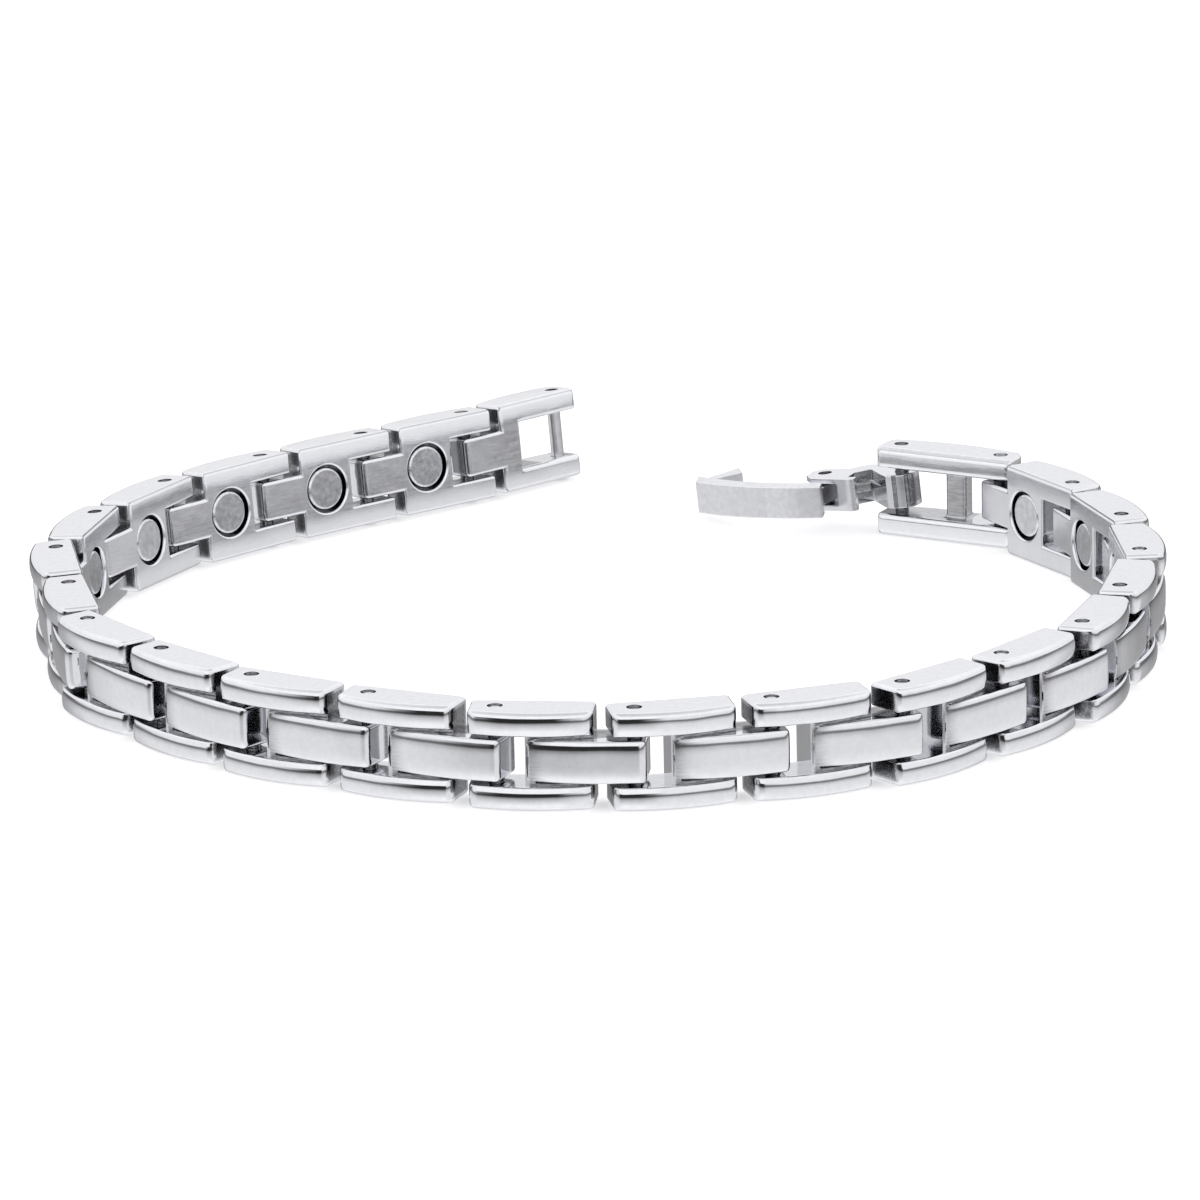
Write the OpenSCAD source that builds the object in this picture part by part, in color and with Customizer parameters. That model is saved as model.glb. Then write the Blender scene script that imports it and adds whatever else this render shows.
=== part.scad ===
// A metal link bracelet with a disc magnet in every link and a hinged clasp, open and standing on
// its edge. Millimetres, +Z up, with the floor at z = 0 under the middle of the open loop. Each
// piece is drawn in its own frame: x runs along the chain towards the clasp, y points in towards
// the wrist, and z = 0 is at mid height.

/* [Band] */
// Height of the band, from edge to edge
band_h = 6.2; // [5.8:0.1:7]
// Height of each rail along the two edges of the band
rail_h = 1.5; // [1.3:0.05:1.7]
// Rounding of the rails' long edges on the outer side
rail_round = 0.45; // [0.2:0.05:0.6]
// Rounding of the long edges on the inner side
inner_round = 0.3; // [0.1:0.05:0.45]
// Rounding of the rails' upright corners on the inner side
end_round = 0.4; // [0.2:0.05:0.5]
// Rounding of the rails' upright corners on the outer side
corner_round = 0.35; // [0.2:0.05:0.5]
// The same where the band ends at the clasp
clasp_corner_round = 1.2; // [0.4:0.1:1.4]

/* [Links] */
// Distance between the two pins of a link
link_pitch = 8.5; // [8.3:0.1:9.5]
// Thickness of a link, from its inner face to the crown of its outer face
link_t = 3.15; // [3:0.05:3.5]
// Distance of the pins from the inner face
pin_depth = 1.2; // [1.1:0.05:1.4]
// Radius of the outer face's curve along the chain
link_arc_r = 13; // [10:0.5:30]
// Distance that the arms reach past their pin
arm_reach = 1.6; // [1.4:0.05:1.7]
// Gap between one link's rails and the next link's
rail_gap = 0.8; // [0.7:0.05:1]
// Distance from the arms' pin to the end of the slot between them
slot_reach = 1.95; // [1.9:0.05:2.2]

/* [Tongue and brick] */
// Distance that the tongue's nose reaches past its pin
nose_reach = 0.85; // [0.75:0.05:0.9]
// Play between the tongue and the rails above and below it
tongue_play = 0.25; // [0.2:0.05:0.35]
// Distance from the slot's end to the start of the brick
brick_inset = 0.1; // [0.05:0.05:0.3]
// Distance of the brick's face behind the rails' crown
brick_sink = 0.1; // [0:0.05:0.3]
// Radius of the brick's own curve along the chain
brick_arc_r = 25; // [15:1:60]
// Depth of the grooves between the brick and the rails
groove_depth = 0.45; // [0.3:0.05:0.6]
// Rounding of the brick's edges
brick_round = 0.3; // [0.1:0.05:0.4]

/* [Pins] */
// Diameter of the pins
pin_d = 0.9; // [0.8:0.05:1]
// Distance of the link pins' ends below the rails' edges
pin_sink = 0.1; // [0.05:0.05:0.5]
// The same for the clasp's pins and the catch link's bar
clasp_sink = 0.3; // [0.1:0.05:0.5]
// Clearance all round a pin in a part that holds it
pin_hold = 0.03; // [0.02:0.01:0.05]
// Clearance all round a pin in a chain piece that turns on it
pin_play = 0.07; // [0.06:0.01:0.1]
// Clearance all round a pin in a piece of the clasp that turns on it
hinge_play = 0.05; // [0.03:0.01:0.1]

/* [Magnets] */
// Diameter of the round pocket in the inner face
pocket_d = 3.3; // [3:0.05:3.4]
// Depth of the pocket
pocket_depth = 1.4; // [1:0.05:1.5]
// Gap round the magnet in its pocket
magnet_gap = 0.2; // [0.1:0.05:0.3]
// Gap between the magnet and the pocket's floor
magnet_seat = 0.03; // [0.02:0.01:0.1]
// Distance of the magnet's face behind the inner face
magnet_sink = 0.17; // [0.05:0.01:0.3]
// Chamfer round the magnet's face
magnet_chamfer = 0.2; // [0.05:0.05:0.3]

/* [Clasp frame] */
// Distance between the frame's two pins
frame_pitch = 7.4; // [7.2:0.1:8.5]
// Distance of the frame's pins from its inner face
frame_pin_depth = 1.4; // [1.2:0.05:1.6]
// Radius of the frame's outer curve along the chain
frame_arc_r = 20; // [14:1:40]
// Distance that the rails reach past each pin
frame_reach = 1.3; // [1.2:0.05:1.5]
// Distance from the clasp's pin to the web
web_reach = 3.5; // [3.45:0.05:3.7]
// Width of the web along the chain
web_w = 1.5; // [1:0.05:1.6]
// Distance of the web's inner face behind the frame's inner face
web_sink = 0.9; // [0.6:0.05:1.1]
// Thickness of the web
web_t = 1.25; // [1:0.05:1.5]

/* [Catch link] */
// Distance from the catch link's bar to its pin
catch_pitch = 8.35; // [8.2:0.05:9]
// Distance that its arms reach past the bar
catch_arm_reach = 1.1; // [1:0.05:1.3]
// Distance from the bar to the far end of its window
window_reach = 4.1; // [3.8:0.05:4.3]
// Diameter of the bar
bar_d = 0.88; // [0.8:0.02:0.96]

/* [Clasp hook piece] */
// Distance between its two pins
hook_pitch = 5.5; // [5.4:0.05:5.7]
// Height of the hook piece
hook_h = 2.3; // [2.1:0.05:2.4]
// Diameter of its barrel in the frame
barrel_d = 2.5; // [2.2:0.05:2.6]
// Distance from the frame's pin to the wall that takes the bar's pull
bay_reach = 3.4; // [3.3:0.05:3.5]
// Width of the wall between the bay and the cover's slot
bay_wall = 0.65; // [0.5:0.05:0.8]
// Length of the lip that hangs over the bay
lip_len = 0.65; // [0.5:0.05:0.8]
// Thickness of the lip
lip_t = 0.65; // [0.5:0.05:0.8]
// Distance of the lip's face from the line of the pins
lip_face = 1.9; // [1.8:0.05:2]
// Distance of the block's inner face from the line of the pins, at its free end
block_face = 1.4; // [1.3:0.05:1.5]
// Distance of the block's outer face from the line of the pins
block_back = 1.15; // [1:0.05:1.3]
// Radius of the block's free end about the cover's pin
block_end_r = 1.1; // [1:0.05:1.2]
// Depth of the trough past the line of the pins
trough_depth = 0.9; // [0.8:0.05:1]
// Distance from the frame's pin to the trough's bottom
trough_reach = 2.45; // [2.3:0.05:2.5]
// Thickness of the wall behind the trough
trough_wall = 1.3; // [1:0.05:1.35]
// Height of the rib that crosses the trough
rib_h = 0.6; // [0.4:0.05:0.8]
// Distance that the rib stands out of the trough's bottom
rib_out = 0.4; // [0.2:0.05:0.5]
// Thickness of the cheeks above and below the cover's slot
cheek_t = 0.4; // [0.3:0.05:0.5]

/* [Clasp cover] */
// Height of the cover plate
cover_h = 2.2; // [2:0.05:2.3]
// Thickness of the cover plate
cover_t = 1.3; // [1:0.05:1.4]
// Radius of the plate's outer curve
cover_arc_r = 20; // [16:1:30]
// Length of the plate's outer face, from end to end
cover_len = 10.3; // [10:0.1:10.6]
// Distance that the plate's outer face reaches back past the cover's pin
cover_back = 1.9; // [1.6:0.05:2]
// Slant of the plate's two ends along the chain
cover_slant = 0.7; // [0:0.05:0.8]
// Distance of the plate's back from the cover's pin, at the plate's ends
cover_stand = 2.2; // [2.15:0.05:2.4]
// Length of the hook past the back of the plate
hook_drop = 3.8; // [3.4:0.05:3.9]
// Thickness of the hook where it leaves the plate
hook_root = 0.75; // [0.6:0.05:0.9]
// Thickness of the hook's barbed tip
hook_tip = 1.1; // [0.8:0.05:1.2]
// Height of the hook
hook_w = 1.6; // [1.2:0.05:1.8]
// Play between the cover's lug and the cheeks
lug_play = 0.15; // [0.1:0.05:0.25]
// Radius of the lug about the cover's pin
lug_r = 0.95; // [0.85:0.05:1]

/* [Hidden] */
$fn = 48;

// Outline of the chain as it stands: the way each segment turns from the one before, in degrees,
// clockwise seen from above, and how far each segment's top leans out
first_heading = -28;
bends = [31, 12.5, 14.5, 16.5, 7.5, 19.5, 9, 23, 8, 17, 17.5, 7, 15.5, 8, 24.5, 2.5, 23, 16, 16, 5.5, 1.5, -5];
leans = [0, 0, 0, 0, 0, 0, 0, 0, 0, 0, 0, 0, 0, 0, 1, 2, 3, 4, 5, 6, 6.5, 6.5, 6.5];
// How the clasp hangs: the hook piece's turn from the frame's line, the droop of both pieces, and
// the cover's turn from the hook piece
hook_turn = 5;
clasp_droop = 6;
cover_turn = -13;

link_count = 21;
catch_segment = link_count + 1;

// How far a cutter reaches past what it cuts
over = 1;
// Depth of the sections that are swept along a piece, and the angle that they run on past its ends
section_depth = 1.4 * link_t;
end_margin = 1;

rail_in = band_h / 2 - rail_h;
tongue_h = 2 * (rail_in - tongue_play);
link_back = link_t - pin_depth;
rail_end = link_pitch - arm_reach - rail_gap;
magnet_x = (slot_reach + rail_end) / 2;
magnet_d = pocket_d - 2 * magnet_gap;
magnet_t = pocket_depth - magnet_seat - magnet_sink;
pin_len = band_h - 2 * pin_sink;
clasp_pin_len = band_h - 2 * clasp_sink;
frame_back = link_t - frame_pin_depth;
catch_rail_end = catch_pitch - arm_reach - rail_gap;

function two_digits(n) = n < 10 ? str("0", n) : str(n);
function link_name(n) = str("link_", two_digits(n));
function magnet_name(n) = str("magnet_", two_digits(n));

// The route of the pins, and the middle of the loop that it makes
function heading(k) = k == 0 ? first_heading : heading(k - 1) - bends[k - 1];
function pitch(k) = k == 0 ? frame_pitch : k == catch_segment ? catch_pitch : link_pitch;
function step(k) = pitch(k) * [cos(heading(k)), sin(heading(k))];
function pin_at(k) = k == 0 ? [0, 0] : pin_at(k - 1) + step(k - 1);
function leaned(p, a) = [p.x, p.y * cos(a) - p.z * sin(a), p.y * sin(a) + p.z * cos(a)];
function turned(p, a) = [p.x * cos(a) - p.y * sin(a), p.x * sin(a) + p.y * cos(a)];
function back_at(x, middle, back, r) = r - back - sqrt(r * r - (x - middle) * (x - middle));
function arms_end(k) = k == 0 ? -frame_reach : k == catch_segment ? -catch_arm_reach : -arm_reach;
function rails_end(k) = k == 0 ? frame_pitch + frame_reach : pitch(k) - arm_reach - rail_gap;
function arms_corner(k) = k == 0 || k == catch_segment ? clasp_corner_round : corner_round;
function rails_corner(k) = k == 0 ? clasp_corner_round : corner_round;
function outer_point(k, share, top) =
  let (low = arms_end(k) + arms_corner(k), high = rails_end(k) - rails_corner(k),
       x = low + share * (high - low), middle = (arms_end(k) + rails_end(k)) / 2,
       back = k == 0 ? frame_back : link_back, r = k == 0 ? frame_arc_r : link_arc_r)
  pin_at(k + 1) + turned(leaned([x, back_at(x, middle, back, r), top], leans[k]), heading(k) + 180);
reach = [for (k = [0 : catch_segment], share = [0 : 0.25 : 1], side = [-1, 1])
         outer_point(k, share, side * (band_h / 2 - rail_round))];
xs = [for (p = reach) p.x];
ys = [for (p = reach) p.y];
loop_middle = [(min(xs) + max(xs)) / 2, (min(ys) + max(ys)) / 2];

// Height that a leaning piece gains so that its outer bottom edge still touches the floor
function lift(back, a) =
  (back - rail_round) * sin(a) + (band_h / 2 - rail_round) * cos(a) + rail_round - band_h / 2;

// Puts a piece's own frame on a segment of the chain
module on_segment(k) {
  place = pin_at(k + 1) - loop_middle;
  translate([place.x, place.y, band_h / 2 + lift(link_back, leans[k])])
    rotate([0, 0, heading(k) + 180])
      rotate([leans[k], 0, 0])
        children();
}

// Puts the hook piece's own frame on the frame's outer pin: x runs towards the cover's pin
module on_hook() {
  place = pin_at(0) - loop_middle;
  translate([place.x, place.y, band_h / 2])
    rotate([0, 0, heading(0) + 180 + hook_turn])
      rotate([0, clasp_droop, 0])
        children();
}

// Puts the cover's own frame on the cover's pin: x runs along the cover to its hook
module on_cover() {
  on_hook()
    translate([hook_pitch, 0, 0])
      rotate([0, 0, cover_turn])
        children();
}

// What a rounded corner takes off a square one, with the corner at the origin
module corner_spill(r) {
  difference() {
    translate([-over, -over])
      square(r + over);
    translate([r, r])
      circle(r);
  }
}

// Rectangle between two corners, with all its corners rounded
module rounded_rect(low, high, r) {
  difference() {
    translate(low)
      square(high - low);
    for (right = [0, 1], top = [0, 1])
      translate([right ? high.x : low.x, top ? high.y : low.y])
        mirror([right, 0])
          mirror([0, top])
            corner_spill(r);
  }
}

// Sweeps a section round the centre of an outer face's curve: the section's x is the distance in
// from that face and its y is the height
module swept(middle, back, r, half_len) {
  half_angle = asin(half_len / (r - section_depth)) + end_margin;
  translate([middle, r - back, 0])
    rotate_extrude(angle = 2 * half_angle, start = 270 - half_angle)
      translate([r, 0])
        mirror([1, 0])
          children();
}

// Upright block with the plan of a piece, from x_low to x_high, and rounded upright corners
module plan_block(x_low, x_high, face, h, r) {
  translate([0, 0, -h / 2])
    linear_extrude(height = h)
      rounded_rect([x_low, -section_depth], [x_high, face], r);
}

// Long block whose edges along the inner face are rounded
module edged_block(x_low, x_high, face, h, r) {
  translate([x_low, 0, 0])
    rotate([90, 0, 90])
      linear_extrude(height = x_high - x_low)
        rounded_rect([-section_depth, -h / 2], [face, h / 2], r);
}

// What a rounded corner takes off where a piece's end at x meets its outer curve: inwards is 1 at
// the low end and -1 at the high one
module outer_spill(x, inwards, middle, back, r, corner) {
  hub = [middle, r - back];
  centre = [x + inwards * corner, back_at(x + inwards * corner, middle, back - corner, r - corner)];
  beyond = hub + (centre - hub) * (r + over) / (r - corner);
  edge = x - inwards * over;
  translate([0, 0, -band_h / 2 - over])
    linear_extrude(height = band_h + 2 * over)
      difference() {
        polygon([centre, [edge, centre.y], [edge, beyond.y], beyond]);
        translate(centre)
          circle(corner);
      }
}

// The two rails of a piece, with their curved outer face
module rails(x_low, x_high, face, back, r, corner_low, corner_high) {
  middle = (x_low + x_high) / 2;
  difference() {
    intersection() {
      for (side = [0, 1])
        mirror([0, 0, side])
          swept(middle, back, r, (x_high - x_low) / 2)
            rounded_rect([0, rail_in], [section_depth, band_h / 2], rail_round);
      plan_block(x_low, x_high, face, band_h, end_round);
      edged_block(x_low, x_high, face, band_h, inner_round);
    }
    outer_spill(x_low, 1, middle, back, r, corner_low);
    outer_spill(x_high, -1, middle, back, r, corner_high);
  }
}

// What fills the space between the rails, behind the brick
module core(x_low, x_high, middle, face, back, r) {
  intersection() {
    swept(middle, back - groove_depth, r, x_high - middle)
      translate([0, -rail_in - rail_round])
        square([section_depth, 2 * (rail_in + rail_round)]);
    translate([x_low, -section_depth, -band_h / 2])
      cube([x_high - x_low, section_depth + face, band_h]);
  }
}

// The brick on the outer side, which runs on as the tongue
module brick(x_low, x_high, face, back) {
  intersection() {
    swept((x_low + x_high) / 2, back - brick_sink, brick_arc_r, (x_high - x_low) / 2)
      rounded_rect([0, -tongue_h / 2], [section_depth, tongue_h / 2], brick_round);
    plan_block(x_low, x_high, face, tongue_h, end_round);
    edged_block(x_low, x_high, face, tongue_h, inner_round);
  }
}

module upright_hole(x, d) {
  translate([x, 0, 0])
    cylinder(h = band_h + 2 * over, d = d, center = true);
}

// A link's cast body, from the arms' pin at x = 0 to the tongue's pin
module cast_link(pitch, arm, slot_end, rails_end, arm_pin, arm_corner) {
  difference() {
    union() {
      rails(-arm, rails_end, pin_depth, link_back, link_arc_r, arm_corner, corner_round);
      core(slot_end, rails_end, (rails_end - arm) / 2, pin_depth, link_back, link_arc_r);
      brick(slot_end + brick_inset, pitch + nose_reach, pin_depth, link_back);
    }
    upright_hole(0, arm_pin + 2 * pin_hold);
    upright_hole(pitch, pin_d + 2 * pin_play);
  }
}

module link(n) {
  color("silver")
    on_segment(n)
      difference() {
        cast_link(link_pitch, arm_reach, slot_reach, rail_end, pin_d, corner_round);
        translate([magnet_x, pin_depth - pocket_depth, 0])
          rotate([-90, 0, 0])
            cylinder(h = pocket_depth + over, d = pocket_d);
      }
}

// Disc with a chamfer round the face that shows
module magnet(n) {
  flat_d = magnet_d - 2 * magnet_chamfer;
  color("gainsboro")
    on_segment(n)
      translate([magnet_x, pin_depth - magnet_sink, 0])
        rotate([90, 0, 0]) {
          cylinder(h = magnet_chamfer, d1 = flat_d, d2 = magnet_d);
          translate([0, 0, magnet_chamfer])
            cylinder(h = magnet_t - magnet_chamfer, d = magnet_d);
        }
}

module upright_pin(len, d) {
  cylinder(h = len, d = d, center = true);
}

// One pin in the arms of each chain piece that another piece's tongue turns on
module link_pins() {
  color("darkgray")
    for (k = [0 : link_count])
      on_segment(k)
        upright_pin(pin_len, pin_d);
}

// Two rails and a web, with a window on each side of the web
module clasp_frame() {
  web_x = frame_pitch - web_reach - web_w;
  color("silver")
    on_segment(0)
      difference() {
        union() {
          rails(-frame_reach, frame_pitch + frame_reach, frame_pin_depth, frame_back, frame_arc_r,
                clasp_corner_round, clasp_corner_round);
          translate([web_x, frame_pin_depth - web_sink - web_t, -rail_in - rail_round])
            cube([web_w, web_t, 2 * (rail_in + rail_round)]);
        }
        upright_hole(0, pin_d + 2 * pin_hold);
        upright_hole(frame_pitch, pin_d + 2 * pin_hold);
      }
}

module clasp_pin() {
  color("darkgray")
    on_segment(0)
      translate([frame_pitch, 0, 0])
        upright_pin(clasp_pin_len, pin_d);
}

// Plan of the hook piece's body: the wall behind the trough, the block and the lip over the bay
module hook_plan() {
  block_end = hook_pitch + block_end_r;
  polygon([
    [0, -barrel_d / 2],
    [trough_reach - trough_wall / 2, -trough_depth - trough_wall],
    [trough_reach + trough_wall / 2, -trough_depth - trough_wall],
    [bay_reach + bay_wall, -block_back],
    [hook_pitch + block_end_r / 2, -block_back],
    [block_end, -block_end_r / 2],
    [block_end, block_face / 2],
    [hook_pitch + block_end_r / 2, block_face],
    [bay_reach - lip_len / 2, lip_face],
    [bay_reach - lip_len, lip_face - lip_len / 4],
    [bay_reach - lip_len, lip_face - lip_t],
    [0, lip_face - lip_t],
  ]);
  circle(d = barrel_d);
}

// Plan of the space that takes the bar, open towards the wrist between the barrel and the lip
module trough_plan(depth) {
  mouth = barrel_d / 2;
  polygon([
    [bay_reach, 0],
    [trough_reach, -depth],
    [mouth, lip_face - 2 * lip_t],
    [mouth / 2, lip_face - lip_t],
    [mouth / 2, lip_face + over],
    [bay_reach - lip_len, lip_face + over],
    [bay_reach - lip_len, lip_face - lip_t],
    [bay_reach, lip_face - lip_t],
  ]);
}

module hook_block(h) {
  translate([0, 0, -h / 2])
    linear_extrude(height = h)
      children();
}

module clasp_link() {
  slot_h = hook_h - 2 * cheek_t;
  color("silver")
    on_hook()
      difference() {
        hook_block(hook_h)
          hook_plan();
        hook_block(rib_h)
          trough_plan(trough_depth - rib_out);
        for (side = [0, 1])
          mirror([0, 0, side])
            translate([0, 0, rib_h / 2])
              linear_extrude(height = hook_h)
                trough_plan(trough_depth);
        translate([bay_reach + bay_wall, -lip_face - over, -slot_h / 2])
          cube([hook_pitch, 2 * (lip_face + over), slot_h]);
        rotate([0, -clasp_droop, 0])
          upright_hole(0, pin_d + 2 * hinge_play);
        upright_hole(hook_pitch, pin_d + 2 * pin_hold);
      }
}

module cover_pin() {
  color("darkgray")
    on_hook()
      translate([hook_pitch, 0, 0])
        upright_pin(hook_h - clasp_sink, pin_d);
}

// Plan of the cover: a curved plate with slanted ends, its barbed hook and the lug round its pin
module cover_plate() {
  face = cover_stand + cover_t;
  low = -cover_back;
  high = low + cover_len;
  middle = (low + high + cover_slant) / 2;
  half = cover_len / 2;
  centre_y = face - sqrt(cover_arc_r * cover_arc_r - half * half);
  intersection() {
    translate([0, 0, -cover_h / 2])
      linear_extrude(height = cover_h)
        polygon([
          [low, face],
          [low - cover_slant, face + cover_t],
          [high - cover_slant, face + cover_t],
          [high, face],
          [high + cover_slant, cover_stand],
          [high + cover_slant, 0],
          [low + cover_slant, 0],
          [low + cover_slant, cover_stand],
        ]);
    translate([middle, centre_y, 0])
      rotate_extrude()
        translate([cover_arc_r - cover_t, -cover_h / 2])
          square([cover_t, cover_h]);
  }
}

module cover_hook() {
  root = cover_len - cover_back + cover_slant;
  tip = root - cover_slant;
  tip_y = cover_stand - hook_drop;
  translate([0, 0, -hook_w / 2])
    linear_extrude(height = hook_w)
      polygon([
        [root, cover_stand],
        [root - hook_root / 2, cover_stand + cover_t / 2],
        [root - hook_root, cover_stand + cover_t / 2],
        [root - hook_root, cover_stand - hook_root],
        [tip - hook_tip, tip_y + hook_tip],
        [tip, tip_y],
      ]);
}

module cover_lug() {
  lug_h = hook_h - 2 * cheek_t - 2 * lug_play;
  translate([0, 0, -lug_h / 2])
    linear_extrude(height = lug_h) {
      circle(lug_r);
      translate([-lug_r, 0])
        square([2 * lug_r, cover_stand + cover_t / 2]);
    }
}

module clasp_cover() {
  color("silver")
    on_cover()
      difference() {
        union() {
          cover_plate();
          cover_hook();
          cover_lug();
        }
        upright_hole(0, pin_d + 2 * hinge_play);
      }
}

// A link with an open window in place of the magnet, and a bar across its end
module catch_link() {
  color("silver")
    on_segment(catch_segment)
      cast_link(catch_pitch, catch_arm_reach, window_reach, catch_rail_end, bar_d, clasp_corner_round);
}

module catch_bar() {
  color("gainsboro")
    on_segment(catch_segment)
      upright_pin(clasp_pin_len, bar_d);
}

for (n = [1 : link_count]) {
  link(n);
  magnet(n);
}
link_pins();
clasp_frame();
clasp_pin();
clasp_link();
cover_pin();
clasp_cover();
catch_link();
catch_bar();
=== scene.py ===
"""Dresses a magnetic link bracelet, open at its clasp and standing on its edge.

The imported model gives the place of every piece. Each visible piece is modelled here in its own
frame in millimetres, x along the chain towards the clasp, y in towards the wrist and z up from
mid height, and is then set down on its segment of the chain in metres.
"""

from __future__ import annotations

import logging
import math
import random
from dataclasses import dataclass, field
from enum import Enum
from typing import Callable

import bpy
from mathutils import Matrix, Vector

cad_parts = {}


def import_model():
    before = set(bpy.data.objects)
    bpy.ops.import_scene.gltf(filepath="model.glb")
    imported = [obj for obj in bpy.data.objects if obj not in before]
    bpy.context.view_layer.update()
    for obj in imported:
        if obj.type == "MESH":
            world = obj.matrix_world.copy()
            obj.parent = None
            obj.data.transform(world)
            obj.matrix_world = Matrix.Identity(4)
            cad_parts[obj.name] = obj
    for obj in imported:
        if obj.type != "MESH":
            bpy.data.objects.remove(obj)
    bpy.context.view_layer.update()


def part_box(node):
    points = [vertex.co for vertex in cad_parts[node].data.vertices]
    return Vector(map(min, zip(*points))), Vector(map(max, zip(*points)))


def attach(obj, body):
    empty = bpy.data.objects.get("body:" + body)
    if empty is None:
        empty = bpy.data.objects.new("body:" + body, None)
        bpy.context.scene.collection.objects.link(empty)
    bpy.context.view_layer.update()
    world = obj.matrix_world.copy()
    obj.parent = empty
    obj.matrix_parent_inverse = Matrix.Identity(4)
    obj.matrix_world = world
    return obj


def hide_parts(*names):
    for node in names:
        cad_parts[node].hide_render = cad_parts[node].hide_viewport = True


LOG = logging.getLogger("bracelet")
MM = 0.001
LOCAL = "local_mm"
# Places closer than this count as one, in millimetres: in a mesh, and in the rules for edges.
SAME = 1e-4
NEAR = 0.012
# How far shapes reach into each other before they are joined or cut, in millimetres.
OVERLAP = 0.3
# Depth of a swept section behind its outer face, in thicknesses of a link.
SECTION_DEPTH = 1.2
# Steps from the middle of a crowned face to its edge.
CROWN_STEPS = 4
# An edge with less than this between its faces, in degrees, lies on a curve and stays sharp.
CURVE_ANGLE = 40
# The widest rounding of a cast body's edges, in millimetres.
WIDEST = 0.5
# Turn of each magnet from the one before, in degrees.
MAGNET_TURN = 47
# Brightness of the light tent above the horizon by elevation in degrees, at the sides and behind.
SKY = ((1.5, 0.8), (5, 0.88), (25, 0.92), (45, 1.05), (65, 0.8), (90, 0.66))
# The camera's aim: how far from the clasp's pin on the floor plan, and above the floor.
AIM_FROM_CLASP_PIN = Vector((-20.661, -36.611))
AIM_HEIGHT = 6.2


class Body(Enum):
    """The bodies that pieces ride on."""

    BAND = "band"
    HOOK_PIECE = "hook_piece"
    COVER = "cover"


class Slot(Enum):
    """The record's material slots."""

    STEEL = "polished_steel"
    MAGNET = "magnet"
    PIN = "pin_steel"


@dataclass(frozen=True)
class Band:
    """Sizes that all pieces of the chain share, in millimetres."""

    height: float = 6.2
    rail_h: float = 1.5
    rail_round: float = 0.45
    pitch: float = 8.5
    thickness: float = 3.15
    pin_depth: float = 1.2
    arc_r: float = 13.0
    arm_reach: float = 1.6
    rail_gap: float = 0.8
    slot_reach: float = 1.95
    pin_d: float = 0.9
    pin_sink: float = 0.1
    clasp_sink: float = 0.3
    pin_hold: float = 0.03
    pin_play: float = 0.07
    hinge_play: float = 0.05
    clasp_corner: float = 1.2
    frame_pitch: float = 7.4
    catch_pitch: float = 8.35
    hook_pitch: float = 5.5
    link_count: int = 21

    @property
    def rail_in(self) -> float:
        """Height of the rails' facing sides above mid height."""
        return self.height / 2 - self.rail_h

    @property
    def back(self) -> float:
        """Distance of a link's outer crown from the line of its pins."""
        return self.thickness - self.pin_depth

    @property
    def catch_segment(self) -> int:
        """Number of the catch link's segment."""
        return self.link_count + 1


@dataclass(frozen=True)
class Route:
    """The way the chain lies, with all angles in degrees.

    Segment 0 is the clasp's frame, and first_pin is its free pin on the floor plan. Each of the
    bends is a segment's clockwise turn from the one before, and each of the leans is how far its
    top leans out. The hook piece turns and droops from the frame's line, and the cover turns from
    the hook piece.
    """

    band: Band
    first_pin: Vector
    first_heading: float = -28.0
    bends: tuple[float, ...] = (
        31, 12.5, 14.5, 16.5, 7.5, 19.5, 9, 23, 8, 17, 17.5, 7, 15.5, 8, 24.5, 2.5, 23, 16, 16,
        5.5, 1.5, -5)
    leans: tuple[float, ...] = (0,) * 14 + (1, 2, 3, 4, 5, 6, 6.5, 6.5, 6.5)
    hook_turn: float = 5.0
    droop: float = 6.0
    cover_turn: float = -13.0

    def heading(self, segment: int) -> float:
        """Heading of a segment, in degrees."""
        return self.first_heading - sum(self.bends[:segment])

    def pitch(self, segment: int) -> float:
        """Distance between a segment's two pins.

        Args:
            segment: Number of the segment.

        Returns:
            The distance, in millimetres.
        """
        if segment == 0:
            return self.band.frame_pitch
        return self.band.catch_pitch if segment == self.band.catch_segment else self.band.pitch

    def pin(self, number: int) -> Vector:
        """Place of a pin on the floor plan, in millimetres.

        Args:
            number: Number of the pin, 0 for the clasp's.

        Returns:
            Its place, in millimetres.
        """
        place = self.first_pin.copy()
        for segment in range(number):
            angle = math.radians(self.heading(segment))
            place += self.pitch(segment) * Vector((math.cos(angle), math.sin(angle)))
        return place

    def seat(self, segment: int) -> Matrix:
        """Where a piece's own frame lies on a segment.

        Args:
            segment: Number of the segment, 0 for the clasp's frame.

        Returns:
            The matrix from the piece's millimetres to the scene's metres.
        """
        lean = math.radians(self.leans[segment])
        rounding = self.band.rail_round
        half = self.band.height / 2
        lift = (self.band.back - rounding) * math.sin(lean) + (half - rounding) * math.cos(lean)
        place = self.pin(segment + 1)
        return (Matrix.Scale(MM, 4)
                @ Matrix.Translation((place.x, place.y, lift + rounding))
                @ Matrix.Rotation(math.radians(self.heading(segment) + 180), 4, "Z")
                @ Matrix.Rotation(lean, 4, "X"))

    def hook_seat(self) -> Matrix:
        """Where the hook piece's own frame lies, drooping from the clasp's pin."""
        return (Matrix.Scale(MM, 4)
                @ Matrix.Translation((self.first_pin.x, self.first_pin.y, self.band.height / 2))
                @ Matrix.Rotation(math.radians(self.heading(0) + 180 + self.hook_turn), 4, "Z")
                @ Matrix.Rotation(math.radians(self.droop), 4, "Y"))

    def cover_seat(self) -> Matrix:
        """Where the cover's own frame lies, about its pin in the hook piece."""
        return (self.hook_seat()
                @ Matrix.Translation((self.band.hook_pitch, 0, 0))
                @ Matrix.Rotation(math.radians(self.cover_turn), 4, "Z"))


Point = tuple[float, float, float]
Corner = tuple[float, float]
Pick = Callable[[Vector], bool]


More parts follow.
